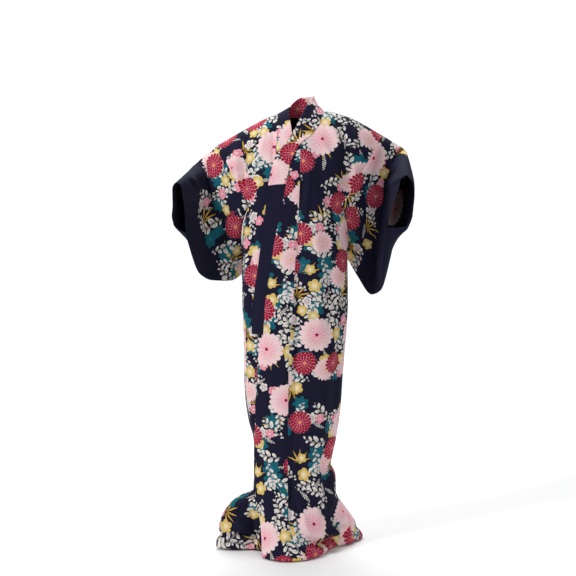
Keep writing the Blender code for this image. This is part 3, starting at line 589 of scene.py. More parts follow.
# Soft creases, laid over the whole cloth, by the cloth they are on. Each starts at its first place, bends
# towards its second and ends at its third, as x and z seen from in front; depth is outwards, and width is
# half its breadth.
CREASES = {
    "front": records(CREASE_COLUMNS, (
        # left front, from the neck and shoulder
        (0.090, -0.006, 0.118, -0.060, 0.185, -0.220, 0.012, 0.0042),
        (0.110, -0.004, 0.146, -0.070, 0.208, -0.190, 0.010, -0.0040),
        (0.060, -0.060, 0.098, -0.130, 0.150, -0.210, 0.009, 0.0024),
        (0.030, -0.190, 0.024, -0.250, 0.012, -0.330, 0.005, -0.0030),
        (0.044, -0.180, 0.042, -0.250, 0.034, -0.340, 0.008, 0.0026),
        (0.116, -0.236, 0.138, -0.246, 0.158, -0.234, 0.005, -0.0030),
        (0.120, -0.226, 0.140, -0.234, 0.160, -0.224, 0.006, 0.0022),
        (0.150, -0.110, 0.170, -0.190, 0.150, -0.300, 0.016, -0.0070),
        (0.190, -0.060, 0.176, -0.140, 0.150, -0.280, 0.011, 0.0045),
        (0.166, -0.120, 0.178, -0.190, 0.158, -0.290, 0.012, -0.0070),
        (0.060, -0.330, 0.082, -0.520, 0.074, -0.720, 0.014, 0.0034),
        (0.106, -0.380, 0.118, -0.560, 0.108, -0.760, 0.012, -0.0040),
        (0.020, -0.740, 0.070, -0.752, 0.120, -0.744, 0.007, -0.0022),
        (0.034, -0.776, 0.084, -0.782, 0.128, -0.768, 0.006, 0.0020),
        (-0.072, -0.862, -0.045, -0.848, -0.020, -0.866, 0.005, 0.0024),
        (-0.076, -0.872, -0.048, -0.860, -0.022, -0.878, 0.004, -0.0024),
        (-0.118, -1.110, -0.080, -1.118, -0.030, -1.108, 0.006, -0.0028),
        (-0.112, -1.130, -0.074, -1.136, -0.034, -1.128, 0.007, 0.0020),
        (0.010, -0.980, 0.026, -1.120, 0.020, -1.290, 0.010, -0.0036),
        (0.050, -1.010, 0.056, -1.140, 0.078, -1.270, 0.011, 0.0044),
        (0.094, -1.060, 0.090, -1.180, 0.116, -1.290, 0.009, -0.0048),
        (-0.060, -1.180, -0.062, -1.280, -0.040, -1.360, 0.010, -0.0048),
        (-0.010, -1.300, 0.052, -1.352, 0.150, -1.372, 0.009, -0.0070),
        (-0.060, -1.330, 0.030, -1.372, 0.120, -1.384, 0.008, 0.0049),
        # the rolled edge of the left overlap
        (0.019, -0.300, 0.006, -0.700, -0.008, -1.120, 0.005, -0.0045),
        (-0.008, -1.090, -0.013, -1.220, -0.010, -1.350, 0.006, -0.0050),
        # right front
        (-0.060, -0.020, -0.070, -0.110, -0.066, -0.230, 0.009, -0.0030),
        (-0.086, -0.030, -0.104, -0.110, -0.118, -0.200, 0.012, 0.0028),
        (-0.140, -0.060, -0.170, -0.150, -0.160, -0.280, 0.014, -0.0050),
        (-0.176, -0.090, -0.196, -0.170, -0.172, -0.290, 0.010, 0.0040),
        (-0.156, -0.140, -0.168, -0.210, -0.160, -0.300, 0.011, -0.0060),
        (-0.120, -0.330, -0.134, -0.480, -0.126, -0.660, 0.012, -0.0036),
        (-0.146, -0.350, -0.152, -0.500, -0.148, -0.640, 0.010, 0.0034),
        (-0.164, -0.742, -0.140, -0.752, -0.112, -0.744, 0.006, -0.0030),
        (-0.162, -0.790, -0.138, -0.782, -0.114, -0.794, 0.006, 0.0024),
        (-0.154, -1.060, -0.140, -1.092, -0.124, -1.100, 0.006, -0.0026),
        # right pool and left pool
        (-0.240, -1.352, -0.180, -1.340, -0.110, -1.350, 0.007, -0.0070),
        (-0.236, -1.374, -0.180, -1.366, -0.116, -1.376, 0.006, -0.0056),
        (-0.200, -1.262, -0.170, -1.300, -0.160, -1.340, 0.010, 0.0070),
        (-0.150, -1.250, -0.128, -1.300, -0.130, -1.372, 0.009, -0.0084),
        (0.122, -1.262, 0.132, -1.310, 0.150, -1.352, 0.008, -0.0084),
        (0.146, -1.284, 0.166, -1.320, 0.196, -1.346, 0.010, 0.0062),
        (0.102, -1.312, 0.128, -1.334, 0.146, -1.362, 0.007, 0.0064),
        (-0.003, -1.180, 0.000, -1.280, 0.034, -1.350, 0.006, -0.0056),
        (0.020, -1.338, 0.070, -1.382, 0.205, -1.350, 0.007, -0.0070),
        (0.030, -1.316, 0.080, -1.352, 0.200, -1.328, 0.009, 0.0050),
        (0.014, -1.190, 0.018, -1.270, 0.050, -1.330, 0.008, 0.0042),
        (-0.170, -1.262, -0.190, -1.300, -0.236, -1.330, 0.008, -0.0050),
        (0.060, -1.200, 0.080, -1.260, 0.128, -1.312, 0.008, -0.0056),
    )),
    "back": records(CREASE_COLUMNS, (
        (-0.060, -0.040, -0.090, -0.180, -0.070, -0.340, 0.014, 0.0040),
        (0.070, -0.030, 0.110, -0.170, 0.086, -0.330, 0.013, 0.0042),
        (-0.120, -0.070, -0.150, -0.190, -0.142, -0.310, 0.013, -0.0050),
        (0.150, -0.060, 0.170, -0.180, 0.146, -0.320, 0.014, -0.0052),
        (-0.020, -0.120, 0.004, -0.300, -0.012, -0.520, 0.012, -0.0034),
        (-0.104, -0.380, -0.110, -0.600, -0.098, -0.860, 0.013, 0.0044),
        (-0.052, -0.420, -0.060, -0.700, -0.050, -1.020, 0.011, -0.0040),
        (0.044, -0.360, 0.052, -0.640, 0.040, -0.960, 0.013, 0.0036),
        (0.100, -0.400, 0.112, -0.620, 0.104, -0.920, 0.011, -0.0046),
        (-0.020, -0.900, -0.010, -1.100, -0.024, -1.320, 0.012, 0.0044),
        (0.074, -0.980, 0.070, -1.160, 0.082, -1.340, 0.011, 0.0038),
        (-0.086, -1.000, -0.080, -1.180, -0.094, -1.350, 0.010, -0.0044),
        (-0.110, -1.344, -0.020, -1.358, 0.090, -1.340, 0.008, -0.0050),
        (-0.060, -1.316, 0.020, -1.306, 0.100, -1.320, 0.008, 0.0040),
    )),
    "left_sleeve_front": records(CREASE_COLUMNS, (
        (0.282, -0.100, 0.262, -0.210, 0.206, -0.330, 0.011, -0.0050),
        (0.318, -0.130, 0.300, -0.250, 0.262, -0.400, 0.010, 0.0046),
        (0.336, -0.160, 0.316, -0.200, 0.284, -0.220, 0.007, -0.0044),
        (0.344, -0.188, 0.322, -0.226, 0.300, -0.240, 0.006, 0.0034),
        (0.200, -0.340, 0.212, -0.420, 0.228, -0.510, 0.011, 0.0044),
        (0.172, -0.370, 0.180, -0.430, 0.210, -0.500, 0.009, -0.0040),
        (0.262, -0.380, 0.256, -0.460, 0.250, -0.560, 0.010, -0.0040),
        (0.286, -0.400, 0.276, -0.460, 0.268, -0.540, 0.008, 0.0032),
    )),
    "left_sleeve_back": records(CREASE_COLUMNS, (
        (0.286, -0.100, 0.280, -0.230, 0.222, -0.380, 0.012, 0.0048),
        (0.320, -0.140, 0.318, -0.270, 0.280, -0.430, 0.011, -0.0046),
        (0.356, -0.170, 0.372, -0.240, 0.370, -0.320, 0.009, 0.0030),
        (0.240, -0.360, 0.238, -0.440, 0.244, -0.540, 0.011, -0.0042),
    )),
    "right_sleeve_front": records(CREASE_COLUMNS, (
        (-0.248, -0.130, -0.232, -0.190, -0.184, -0.300, 0.011, -0.0050),
        (-0.142, -0.136, -0.166, -0.190, -0.184, -0.226, 0.008, 0.0040),
        (-0.272, -0.150, -0.270, -0.230, -0.236, -0.360, 0.010, 0.0044),
        (-0.344, -0.196, -0.322, -0.208, -0.300, -0.240, 0.006, 0.0044),
        (-0.338, -0.216, -0.318, -0.222, -0.302, -0.256, 0.005, -0.0040),
        (-0.302, -0.200, -0.292, -0.280, -0.272, -0.400, 0.009, -0.0044),
        (-0.206, -0.320, -0.206, -0.420, -0.214, -0.520, 0.011, 0.0044),
        (-0.240, -0.350, -0.240, -0.440, -0.250, -0.520, 0.009, -0.0038),
        (-0.306, -0.360, -0.296, -0.430, -0.286, -0.500, 0.009, 0.0034),
        (-0.170, -0.420, -0.184, -0.470, -0.206, -0.520, 0.008, -0.0036),
    )),
    "right_sleeve_back": records(CREASE_COLUMNS, (
        (-0.256, -0.130, -0.244, -0.240, -0.200, -0.380, 0.012, 0.0048),
        (-0.300, -0.160, -0.292, -0.280, -0.262, -0.420, 0.011, -0.0046),
        (-0.352, -0.200, -0.364, -0.270, -0.356, -0.340, 0.008, 0.0026),
        (-0.230, -0.380, -0.238, -0.450, -0.246, -0.520, 0.010, -0.0040),
    )),
}


def crease_depth(points, reach):
    """How far each point of a cloth moves outwards for the creases on it."""
    total = np.zeros(points.shape[:-1])
    flat = points[..., [0, 2]]
    for crease in CREASES[reach]:
        start, bend, end = (np.array([crease["x" + k], crease["z" + k]]) for k in "012")
        best = np.full(total.shape, np.inf)
        place = np.zeros(total.shape)
        ends = [start * (1 - t) ** 2 + 2 * bend * t * (1 - t) + end * t * t
                for t in (step / CREASE_LEGS for step in range(CREASE_LEGS + 1))]
        for step, (near_end, far_end) in enumerate(zip(ends, ends[1:])):
            along = far_end - near_end
            share = np.clip(((flat - near_end) @ along) / (along @ along), 0, 1)
            away = np.linalg.norm(flat - near_end - share[..., None] * along, axis=-1)
            near = away < best
            best = np.where(near, away, best)
            place = np.where(near, (step + share) / CREASE_LEGS, place)
        fade = np.sin(np.pi * np.clip(place, 0.001, 0.999)) ** 0.7
        total += CREASE_STRENGTH * crease["depth"] * fade * np.exp(-(best / crease["width"]) ** 2)
    return total


# Rows or columns of points over which creases fade: towards a sewn edge, a free edge, the sleeve's inner
# corner, the shoulder line and the collar's plain stretch round the neck.
SEWN_FADE, FREE_FADE, CORNER_FADE, SHOULDER_FADE, NECK_FADE = 8, 4, 6, 12, 20
NECK_PLAIN = 30           # rows of the collar on each side of the nape with no crease


def ramp(steps, length):
    """Rises evenly from 0 to 1 over a length counted in rows or columns."""
    return np.clip(steps / length, 0, 1)


def crease_lift(key, grid):
    """How far each point of a piece moves for its creases, which fade towards the seams."""
    rows, columns = np.arange(len(grid)), np.arange(grid.shape[1])
    if key[0] == "sleeve":
        side = SIDE_NAME[key[1]]
        first, second = ("back", "front") if key[1] > 0 else ("front", "back")
        lift = np.where(columns <= SLEEVE_CORNER, crease_depth(grid, side + "_sleeve_" + first),
                        crease_depth(grid, side + "_sleeve_" + second))
        fade = ramp(np.minimum(columns, columns[::-1]), SEWN_FADE)
        fade *= ramp(np.abs(columns - SLEEVE_CORNER), CORNER_FADE)
        return lift * fade * ramp(rows, SEWN_FADE)[:, None]
    front = crease_depth(grid, "front")
    if key == "collar":
        return front * ramp(np.abs(rows - len(grid) // 2) - NECK_PLAIN, NECK_FADE)[:, None]
    if key[0] == "okumi":
        return front
    rows = rows[:, None]
    toward = np.clip((rows - SHOULDER_ROW) / SHOULDER_FADE, -1, 1)
    lift = np.where(toward > 0, front * toward, -crease_depth(grid, "back") * toward)
    outer = columns[::-key[1]]
    sewn = (rows > SHOULDER_ROW - len(UPPER_BACK)) & (rows < SHOULDER_ROW + len(UPPER_FRONT))
    return lift * np.where(sewn, ramp(outer, SEWN_FADE), ramp(outer, FREE_FADE))


def lengths_down(grid):
    """How far each point lies along its column from the first row, in metres of cloth."""
    steps = np.linalg.norm(np.diff(grid, axis=0), axis=2)
    return np.concatenate([np.zeros((1, grid.shape[1])), np.cumsum(steps, axis=0)])


def lengths_across(grid):
    return lengths_down(grid.transpose(1, 0, 2)).T


def flatten(grid, guess, rounds=500, ease=0.7, carry=0.9):
    """The flat cut that a draped grid had: the guess is eased until its lengths are the grid's."""
    cut = np.array(guess, float)
    ties = []
    for down, over in ((1, 0), (0, 1), (1, 1), (1, -1)):
        near = (slice(0, -down or None), slice(max(0, -over), -over if over > 0 else None))
        far = (slice(down, None), slice(max(0, over), over if over < 0 else None))
        ties.append((near, far, np.linalg.norm(grid[far] - grid[near], axis=-1)))
    held = np.zeros(cut.shape[:2])
    for near, far, length in ties:
        held[near] += 1
        held[far] += 1
    last = cut
    for _ in range(rounds):
        push = np.zeros_like(cut)
        for near, far, length in ties:
            gap = cut[far] - cut[near]
            now = np.maximum(np.sqrt((gap * gap).sum(axis=-1)), 1e-6)
            gap *= ((now - length) / now * ease)[..., None]
            push[near] += gap
            push[far] -= gap
        last, cut = cut, cut + (push / held[..., None] + (cut - last) * carry)
    return cut


def cloth_shell(name, grid, normals, thickness, cut, closed=False):
    """A thin closed shell on a grid of points. Cut holds each point's place on the flat cloth; a closed
    ring's cut has one more column, for the other side of its seam."""
    rows, columns = grid.shape[:2]
    side = normals * thickness / 2
    points = np.concatenate([(grid + side).reshape(-1, 3), (grid - side).reshape(-1, 3)])
    count = rows * columns
    faces, places = [], []
    last = columns if closed else columns - 1
    for i in range(rows - 1):
        for j in range(last):
            quad = [(i, j), (i + 1, j), (i + 1, j + 1), (i, j + 1)]
            spots = [cut[a][b] for a, b in quad]
            face = [a * columns + b % columns for a, b in quad]
            faces += [face, [count + v for v in reversed(face)]]
            places += spots + spots[::-1]
    top = [(0, j) for j in range(last + 1)]
    foot = [(rows - 1, j) for j in range(last, -1, -1)]
    loops = [top, foot] if closed else [
        top + [(i, last) for i in range(1, rows)] + foot[1:] + [(i, 0) for i in range(rows - 2, -1, -1)]]
    for loop in loops:
        for a, b in zip(loop, loop[1:]):
            p, q = a[0] * columns + a[1] % columns, b[0] * columns + b[1] % columns
            faces.append([p, q, count + q, count + p])
            places += [cut[a[0]][a[1]], cut[b[0]][b[1]], cut[b[0]][b[1]], cut[a[0]][a[1]]]
    mesh = bpy.data.meshes.new(name)
    mesh.from_pydata(points.tolist(), [], faces)
    mesh.uv_layers.new(name="cut").data.foreach_set("uv", np.array(places, float).ravel())
    reverse = mesh.attributes.new("reverse", "FLOAT", "POINT")
    reverse.data.foreach_set("value", np.repeat([0.0, 1.0], count))
    mesh.shade_smooth()
    mesh.set_sharp_from_angle(angle=math.radians(SHARP_FROM))
    piece = bpy.data.objects.new(name, mesh)
    bpy.context.scene.collection.objects.link(piece)
    return piece


pieces = {"collar": collar_grid()}
for side in (1, -1):
    pieces[("panel", side)] = body_panel_grid(side)
    pieces[("okumi", side)] = okumi_grid(side)
    pieces[("sleeve", side)] = sleeve_grid(side)
smooth = {key: grid.copy() for key, grid in pieces.items()}
normals = all_normals(pieces)
sew(pieces, normals)
for key, grid in pieces.items():
    pieces[key] = grid + normals[key] * crease_lift(key, grid)[..., None]

# Below its seam the left sleeve is free of the body, and its front edge laps a little over the body.
LAP_TOP, LAP_FOOT = -0.268, -0.430
LAP_ROWS = 12
LAP_SHIFT = np.array([-0.009, -0.007, 0.0])
sleeve = pieces[("sleeve", 1)]
height = np.clip((LAP_TOP - sleeve[..., 2]) / (LAP_TOP - LAP_FOOT), 0, 1)
inward = np.clip(1 - np.arange(len(sleeve)) / LAP_ROWS, 0, 1)[:, None] ** 2
facing = np.clip(-normals[("sleeve", 1)][..., 1] * 3, 0, 1)
pieces[("sleeve", 1)] = sleeve + (np.sin(np.pi * height) ** 0.6 * inward * facing)[..., None] * LAP_SHIFT
normals = all_normals(pieces)
sew(pieces, normals)


class Number:
    """A varying value of a finish, written in plain arithmetic."""

    def __init__(self, finish, socket):
        self.finish, self.socket = finish, socket

    def do(self, operation, *others, clamp=False):
        settings = {"operation": operation, "use_clamp": clamp}
        node = self.finish.add("ShaderNodeMath", settings, dict(enumerate((self,) + others)))
        return Number(self.finish, node.outputs[0])

    def times(self, factor):
        """The product, held between 0 and 1."""
        return self.do("MULTIPLY", factor, clamp=True)

    def size(self):
        """The value without its sign."""
        return self.do("ABSOLUTE")

    def __add__(self, other):
        return self.do("ADD", other)

    def __sub__(self, other):
        return self.do("SUBTRACT", other)

    def __mul__(self, other):
        return self.do("MULTIPLY", other)

    def __truediv__(self, other):
        return self.do("DIVIDE", other)

    def __pow__(self, other):
        return self.do("POWER", other)

    def __rsub__(self, other):
        return self.finish.number(other).do("SUBTRACT", self)

    def __rtruediv__(self, other):
        return self.finish.number(other).do("DIVIDE", self)

    __radd__ = __add__
    __rmul__ = __mul__


class Finish:
    """A node tree. add() takes a node's type, its settings and the values or links of its sockets."""

    def __init__(self, tree):
        self.tree = tree

    def add(self, kind, settings=None, sockets=None):
        node = self.tree.nodes.new(kind)
        for setting, value in (settings or {}).items():
            setattr(node, setting, value)
        self.feed(node, sockets or {})
        return node

    def feed(self, node, sockets):
        for key, value in sockets.items():
            socket = node.inputs[key]
            if isinstance(value, Number):
                value = value.socket
            if isinstance(value, bpy.types.NodeSocket):
                self.tree.links.new(value, socket)
            else:
                socket.default_value = value

    def number(self, value):
        node = self.add("ShaderNodeValue")
        node.outputs[0].default_value = value
        return Number(self, node.outputs[0])

    def vector(self, operation, *values):
        return self.add("ShaderNodeVectorMath", {"operation": operation}, dict(enumerate(values))).outputs[0]

    def join(self, x, y, z=0.0):
        return self.add("ShaderNodeCombineXYZ", None, {0: x, 1: y, 2: z}).outputs[0]

    def split(self, vector):
        return [Number(self, out) for out in self.add("ShaderNodeSeparateXYZ", None, {0: vector}).outputs]

    def noise(self, place, scale, detail):
        """The outputs of soft noise over the flat cloth."""
        return self.add("ShaderNodeTexNoise", {"noise_dimensions": "2D"},
                        {"Vector": place, "Scale": scale, "Detail": detail}).outputs

    def mix(self, share, below, above):
        """Above laid over below where share is 1; both are colours."""
        return self.add("ShaderNodeMix", {"data_type": "RGBA"}, {0: share, 6: below, 7: above}).outputs[2]

    def use(self, stamp, **sockets):
        """A stamp set to work, with its sockets by name; gives what it prints."""
        node = self.add("ShaderNodeGroup", {"node_tree": stamp}, sockets)
        made = [Number(self, out) if out.type == "VALUE" else out for out in node.outputs]
        return made[0] if len(made) == 1 else made


def stamp(name, sockets, prints, work):
    """A node group made once and used for many motifs. Sockets and prints name what goes in and comes out;
    a name with # is a colour and any other a number."""
    tree = bpy.data.node_groups.new(name, "ShaderNodeTree")
    for direction, names in (("INPUT", sockets), ("OUTPUT", prints)):
        for label in names.split():
            kind = "NodeSocketColor" if label[0] == "#" else "NodeSocketFloat"
            tree.interface.new_socket(label.lstrip("#"), in_out=direction, socket_type=kind)
    finish = Finish(tree)
    handed = finish.add("NodeGroupInput").outputs[:len(sockets.split())]
    results = work(finish, *[Number(finish, out) if out.type == "VALUE" else out for out in handed])
    finish.add("NodeGroupOutput", None, dict(enumerate(results)))
    return tree


def dye(red, green, blue):
    """A colour as it is named on screens, turned to light values."""
    return tuple(c / 12.92 if c <= 0.04045 else ((c + 0.055) / 1.055) ** 2.4
                 for c in (red / 255, green / 255, blue / 255)) + (1.0,)


NAVY, FADED = dye(25, 25, 46), dye(34, 34, 52)
PALE, ROSE, DEEP_ROSE, HEART = dye(244, 208, 212), dye(234, 146, 164), dye(214, 104, 134), dye(170, 44, 76)
SHELL = dye(242, 203, 206)
CRIMSON, CRIMSON_EDGE = dye(150, 20, 46), dye(220, 134, 154)
CREAM, GREY_MARK = dye(222, 216, 209), dye(128, 126, 142)
OCHRE, OCHRE_EDGE = dye(214, 182, 98), dye(234, 214, 150)
TEAL, TEAL_VEIN = dye(18, 92, 106), dye(92, 156, 162)
GOLD, INK = dye(202, 162, 74), dye(10, 9, 16)
ORANGE = dye(238, 156, 56)
REPEAT_WIDTH = 0.36       # the print repeats over the width of the bolt
REPEAT_HEIGHT = 2         # and every two widths along it
BARE_FROM, BARE_RATE = 0.62, 3    # further than this to either side of the layout the print thins out
LAYOUT_SCALE = 1.2        # the motifs below are drawn this much larger than they are printed
# Where in the layout each piece was cut.
PRINT_START = {
    ("panel", 1): (-0.157, 0.558), ("okumi", 1): (0.33, 0.46), ("sleeve", 1): (0.156, 0.17),
    ("panel", -1): (-0.20, 0.558), ("okumi", -1): (0.30, 0.46), ("sleeve", -1): (-0.152, 0.25),
    "over_collar": (0.114, 0.08)}
THIN_AT, THIN_REACH, THIN_BY = -0.73, 0.34, 0.10    # below the knees it is a little thinner
CROWD_SCALE = 6.5         # how quickly crowded cloth turns to bare cloth, per metre
SWELL = 0.3               # how much the motifs differ in size
TURNS = 39                # radians over which their turns are spread
SHARPNESS = 2600.0        # how quickly a printed edge turns from one colour to the next, per metre
STEM = 0.0005             # half the width of a sprig's stem
BEND, LEAN, TAPER = 3, 0.55, 1.1    # a sprig's curve, its leaves' lean, and how they shrink to its ends
INK_LINE = 0.0009         # width of the dark line round a reed leaf


def place_work(finish, across, along, number, seed, keep, bare, wander, shift_x, shift_y):
    """Each place of the cloth as seen from the middle of the motif that is nearest to it."""
    size = REPEAT_WIDTH / number
    over, up = across / size + (along / size) * 0.5 + shift_x, along / size + shift_y
    cell_x, cell_y = over.do("FLOOR"), up.do("FLOOR")
    hashed = finish.join(cell_x.do("FLOORED_MODULO", number),
                         cell_y.do("FLOORED_MODULO", number * REPEAT_HEIGHT), seed)
    chance = finish.add("ShaderNodeTexWhiteNoise", {"noise_dimensions": "3D"}, {"Vector": hashed})
    odd_x, odd_y, odd_z = finish.split(finish.vector("SUBTRACT", chance.outputs["Color"], (0.5, 0.5, 0.5)))
    off_x, off_y = over - cell_x - 0.5, up - cell_y - 0.5
    x, y = (off_x - off_y * 0.5 + odd_x * wander) * size, (off_y + odd_y * wander) * size
    middle_x, middle_y = across - x, along - y
    crowd = finish.noise(finish.join(middle_x, middle_y), CROWD_SCALE, 1.0)["Fac"]
    thinned = (1 - (middle_y - THIN_AT).size() / THIN_REACH).times(2.0) * THIN_BY
    spare = (middle_x.size() - BARE_FROM).do("MAXIMUM", 0.0) * BARE_RATE + thinned
    value = Number(finish, chance.outputs["Value"])
    lonely = (Number(finish, crowd) - spare).do("LESS_THAN", bare)
    absent = value.do("GREATER_THAN", keep).do("MAXIMUM", lonely)
    swell, angle = 1 + odd_z * SWELL, value / keep * TURNS
    cosine, sine = angle.do("COSINE"), angle.do("SINE")
    new_x, new_y = (x * cosine - y * sine) * swell, (x * sine + y * cosine) * swell
    distance = (new_x * new_x + new_y * new_y).do("SQRT")
    return new_x + absent, new_y, distance + absent, new_y.do("ARCTAN2", new_x)


def ring_work(finish, ground, turn, r, radius, count, notch, roundness, phase, line, petal, edge):
    """One ring of petals with a thin edge of another colour round each."""
    wave = (turn * count * 0.5 + phase).do("COSINE").size()
    border = (wave ** roundness * notch + 1 - notch) * radius
    gap = border - r
    rim = (wave * r * 2 / count).do("MINIMUM", gap)
    outline = ((line - rim) * SHARPNESS).do("ADD", 0.5, clamp=True)
    return [finish.mix(gap.times(SHARPNESS), ground, finish.mix(outline, petal, edge))]


def disc_work(finish, ground, r, radius, colour):
    return [finish.mix((radius - r).times(SHARPNESS), ground, colour)]


def glow_work(finish, r, inner, outer, near, far):
    """A colour that turns from near to far between two distances from the middle."""
    return [finish.mix(((r - inner) / (outer - inner)).times(1.0), near, far)]


def sprig_work(finish, ground, x, y, length, spacing, long, wide, spread, marked):
    """Oval leaves, turn about, on a bent stem."""
    y = y + x * x * BEND
    reach = y.size()
    forward = x - reach * LEAN + y.do("SIGN") * spacing * 0.25
    slot = (forward / spacing).do("ROUND") * spacing
    taper = 1 - slot.size() * TAPER / length
    along, across = (forward - slot) / (taper * long), (reach - taper * spread) / (taper * wide)
    kept = (length / 2 - slot.size()).times(900.0)
    fill = (1 - (along * along + across * across).do("SQRT")).times(14.0) * kept
    stem = ((STEM - reach) * SHARPNESS).do("ADD", 0.5, clamp=True) * (length / 2 - x.size()).times(SHARPNESS)
    ground = finish.mix(stem.do("MAXIMUM", fill), ground, CREAM)
    streak = 0.32 - (along.size() * 1.6 + (across + 0.35).size() * 0.5)
    return [finish.mix(streak.times(9.0) * kept * marked, ground, GREY_MARK)]


def reed_work(finish, ground, x, r, turn, radius, count, width):
    """A fan of long reed leaves, outlined in ink."""
    away = (turn * count * 0.5).do("SINE").size() * r * 2 / count
    belly = (r * math.pi / radius).do("SINE") * width
    inside = (radius - r).times(SHARPNESS) * (x + 0.004).times(800.0)
    dark = (belly + INK_LINE - away).times(SHARPNESS) * inside
    bright = (belly - away).times(SHARPNESS) * inside
    return [finish.mix(bright, finish.mix(dark, ground, INK), GOLD)]


PLACE = stamp("motif_place", "across along number seed keep bare wander shift_x shift_y", "x y r turn",
              place_work)
RING = stamp("petal_ring", "#ground turn r radius count notch roundness phase line #petal #edge", "#printed",
             ring_work)
DISC = stamp("disc", "#ground r radius #colour", "#printed", disc_work)
GLOW = stamp("glow", "r inner outer #near #far", "#printed", glow_work)
SPRIG = stamp("oval_sprig", "#ground x y length spacing long wide spread marked", "#printed", sprig_work)
REED = stamp("reed_fan", "#ground x r turn radius count width", "#printed", reed_work)

# How each motif is scattered: number is how many lie across a repeat, keep the share of them that is printed,
# bare the crowding below which none is, wander how far each strays, and shift moves the lattice.
SCATTER_NAMES = ("number", "seed", "keep", "bare", "wander", "shift_x", "shift_y")
SCATTER = {kind: dict(zip(SCATTER_NAMES, row)) for kind, *row in (
    ("small_sprig_1", 3, 11, 0.70, 0.30, 0.20, 0.00, 0.00),
    ("small_sprig_2", 3, 13, 0.70, 0.30, 0.20, 0.50, 0.30),
    ("reed_1", 2, 12, 0.60, 0.40, 0.26, 0.00, 0.00),
    ("reed_2", 2, 14, 0.45, 0.40, 0.26, 0.50, 0.50),
    ("leaf_1", 4, 31, 0.60, 0.40, 0.20, 0.30, 0.10),
    ("leaf_2", 3, 32, 0.68, 0.40, 0.20, 0.60, 0.40),
    ("oval_1", 4, 21, 0.62, 0.34, 0.16, 0.00, 0.00),
    ("oval_2", 4, 22, 0.56, 0.33, 0.16, 0.50, 0.50),
    ("oval_3", 4, 23, 0.46, 0.32, 0.16, 0.20, 0.75),
    ("cream_blossom", 4, 41, 0.26, 0.42, 0.30, 0.10, 0.60),
    ("ochre_blossom_1", 4, 42, 0.42, 0.38, 0.30, 0.55, 0.20),
    ("ochre_blossom_2", 4, 44, 0.22, 0.38, 0.30, 0.20, 0.30),
    ("rose_blossom", 4, 43, 0.36, 0.38, 0.30, 0.80, 0.70),
    ("daisy_1", 3, 51, 0.42, 0.42, 0.24, 0.15, 0.35),
    ("daisy_2", 3, 52, 0.26, 0.42, 0.24, 0.70, 0.80),
    ("pompon", 3, 61, 0.54, 0.42, 0.24, 0.65, 0.05),
    ("spiky_pompon", 3, 62, 0.30, 0.42, 0.24, 0.35, 0.75),
    ("dahlia", 2, 71, 0.60, 0.42, 0.24, 0.40, 0.25),
)}
# Rings of petals from the outside in, as radius and count.
DAISY_RINGS = ((0.0430, 20), (0.0330, 17), (0.0230, 13), (0.0130, 9))
POMPON_RINGS = ((0.0440, 17), (0.0345, 15), (0.0250, 12), (0.0155, 9))
SPIKY_RINGS = ((0.0420, 13), (0.0340, 12), (0.0255, 11), (0.0165, 8))
DAHLIA_RINGS = ((0.0560, 18), (0.0480, 16), (0.0385, 14), (0.0285, 12), (0.0180, 9))


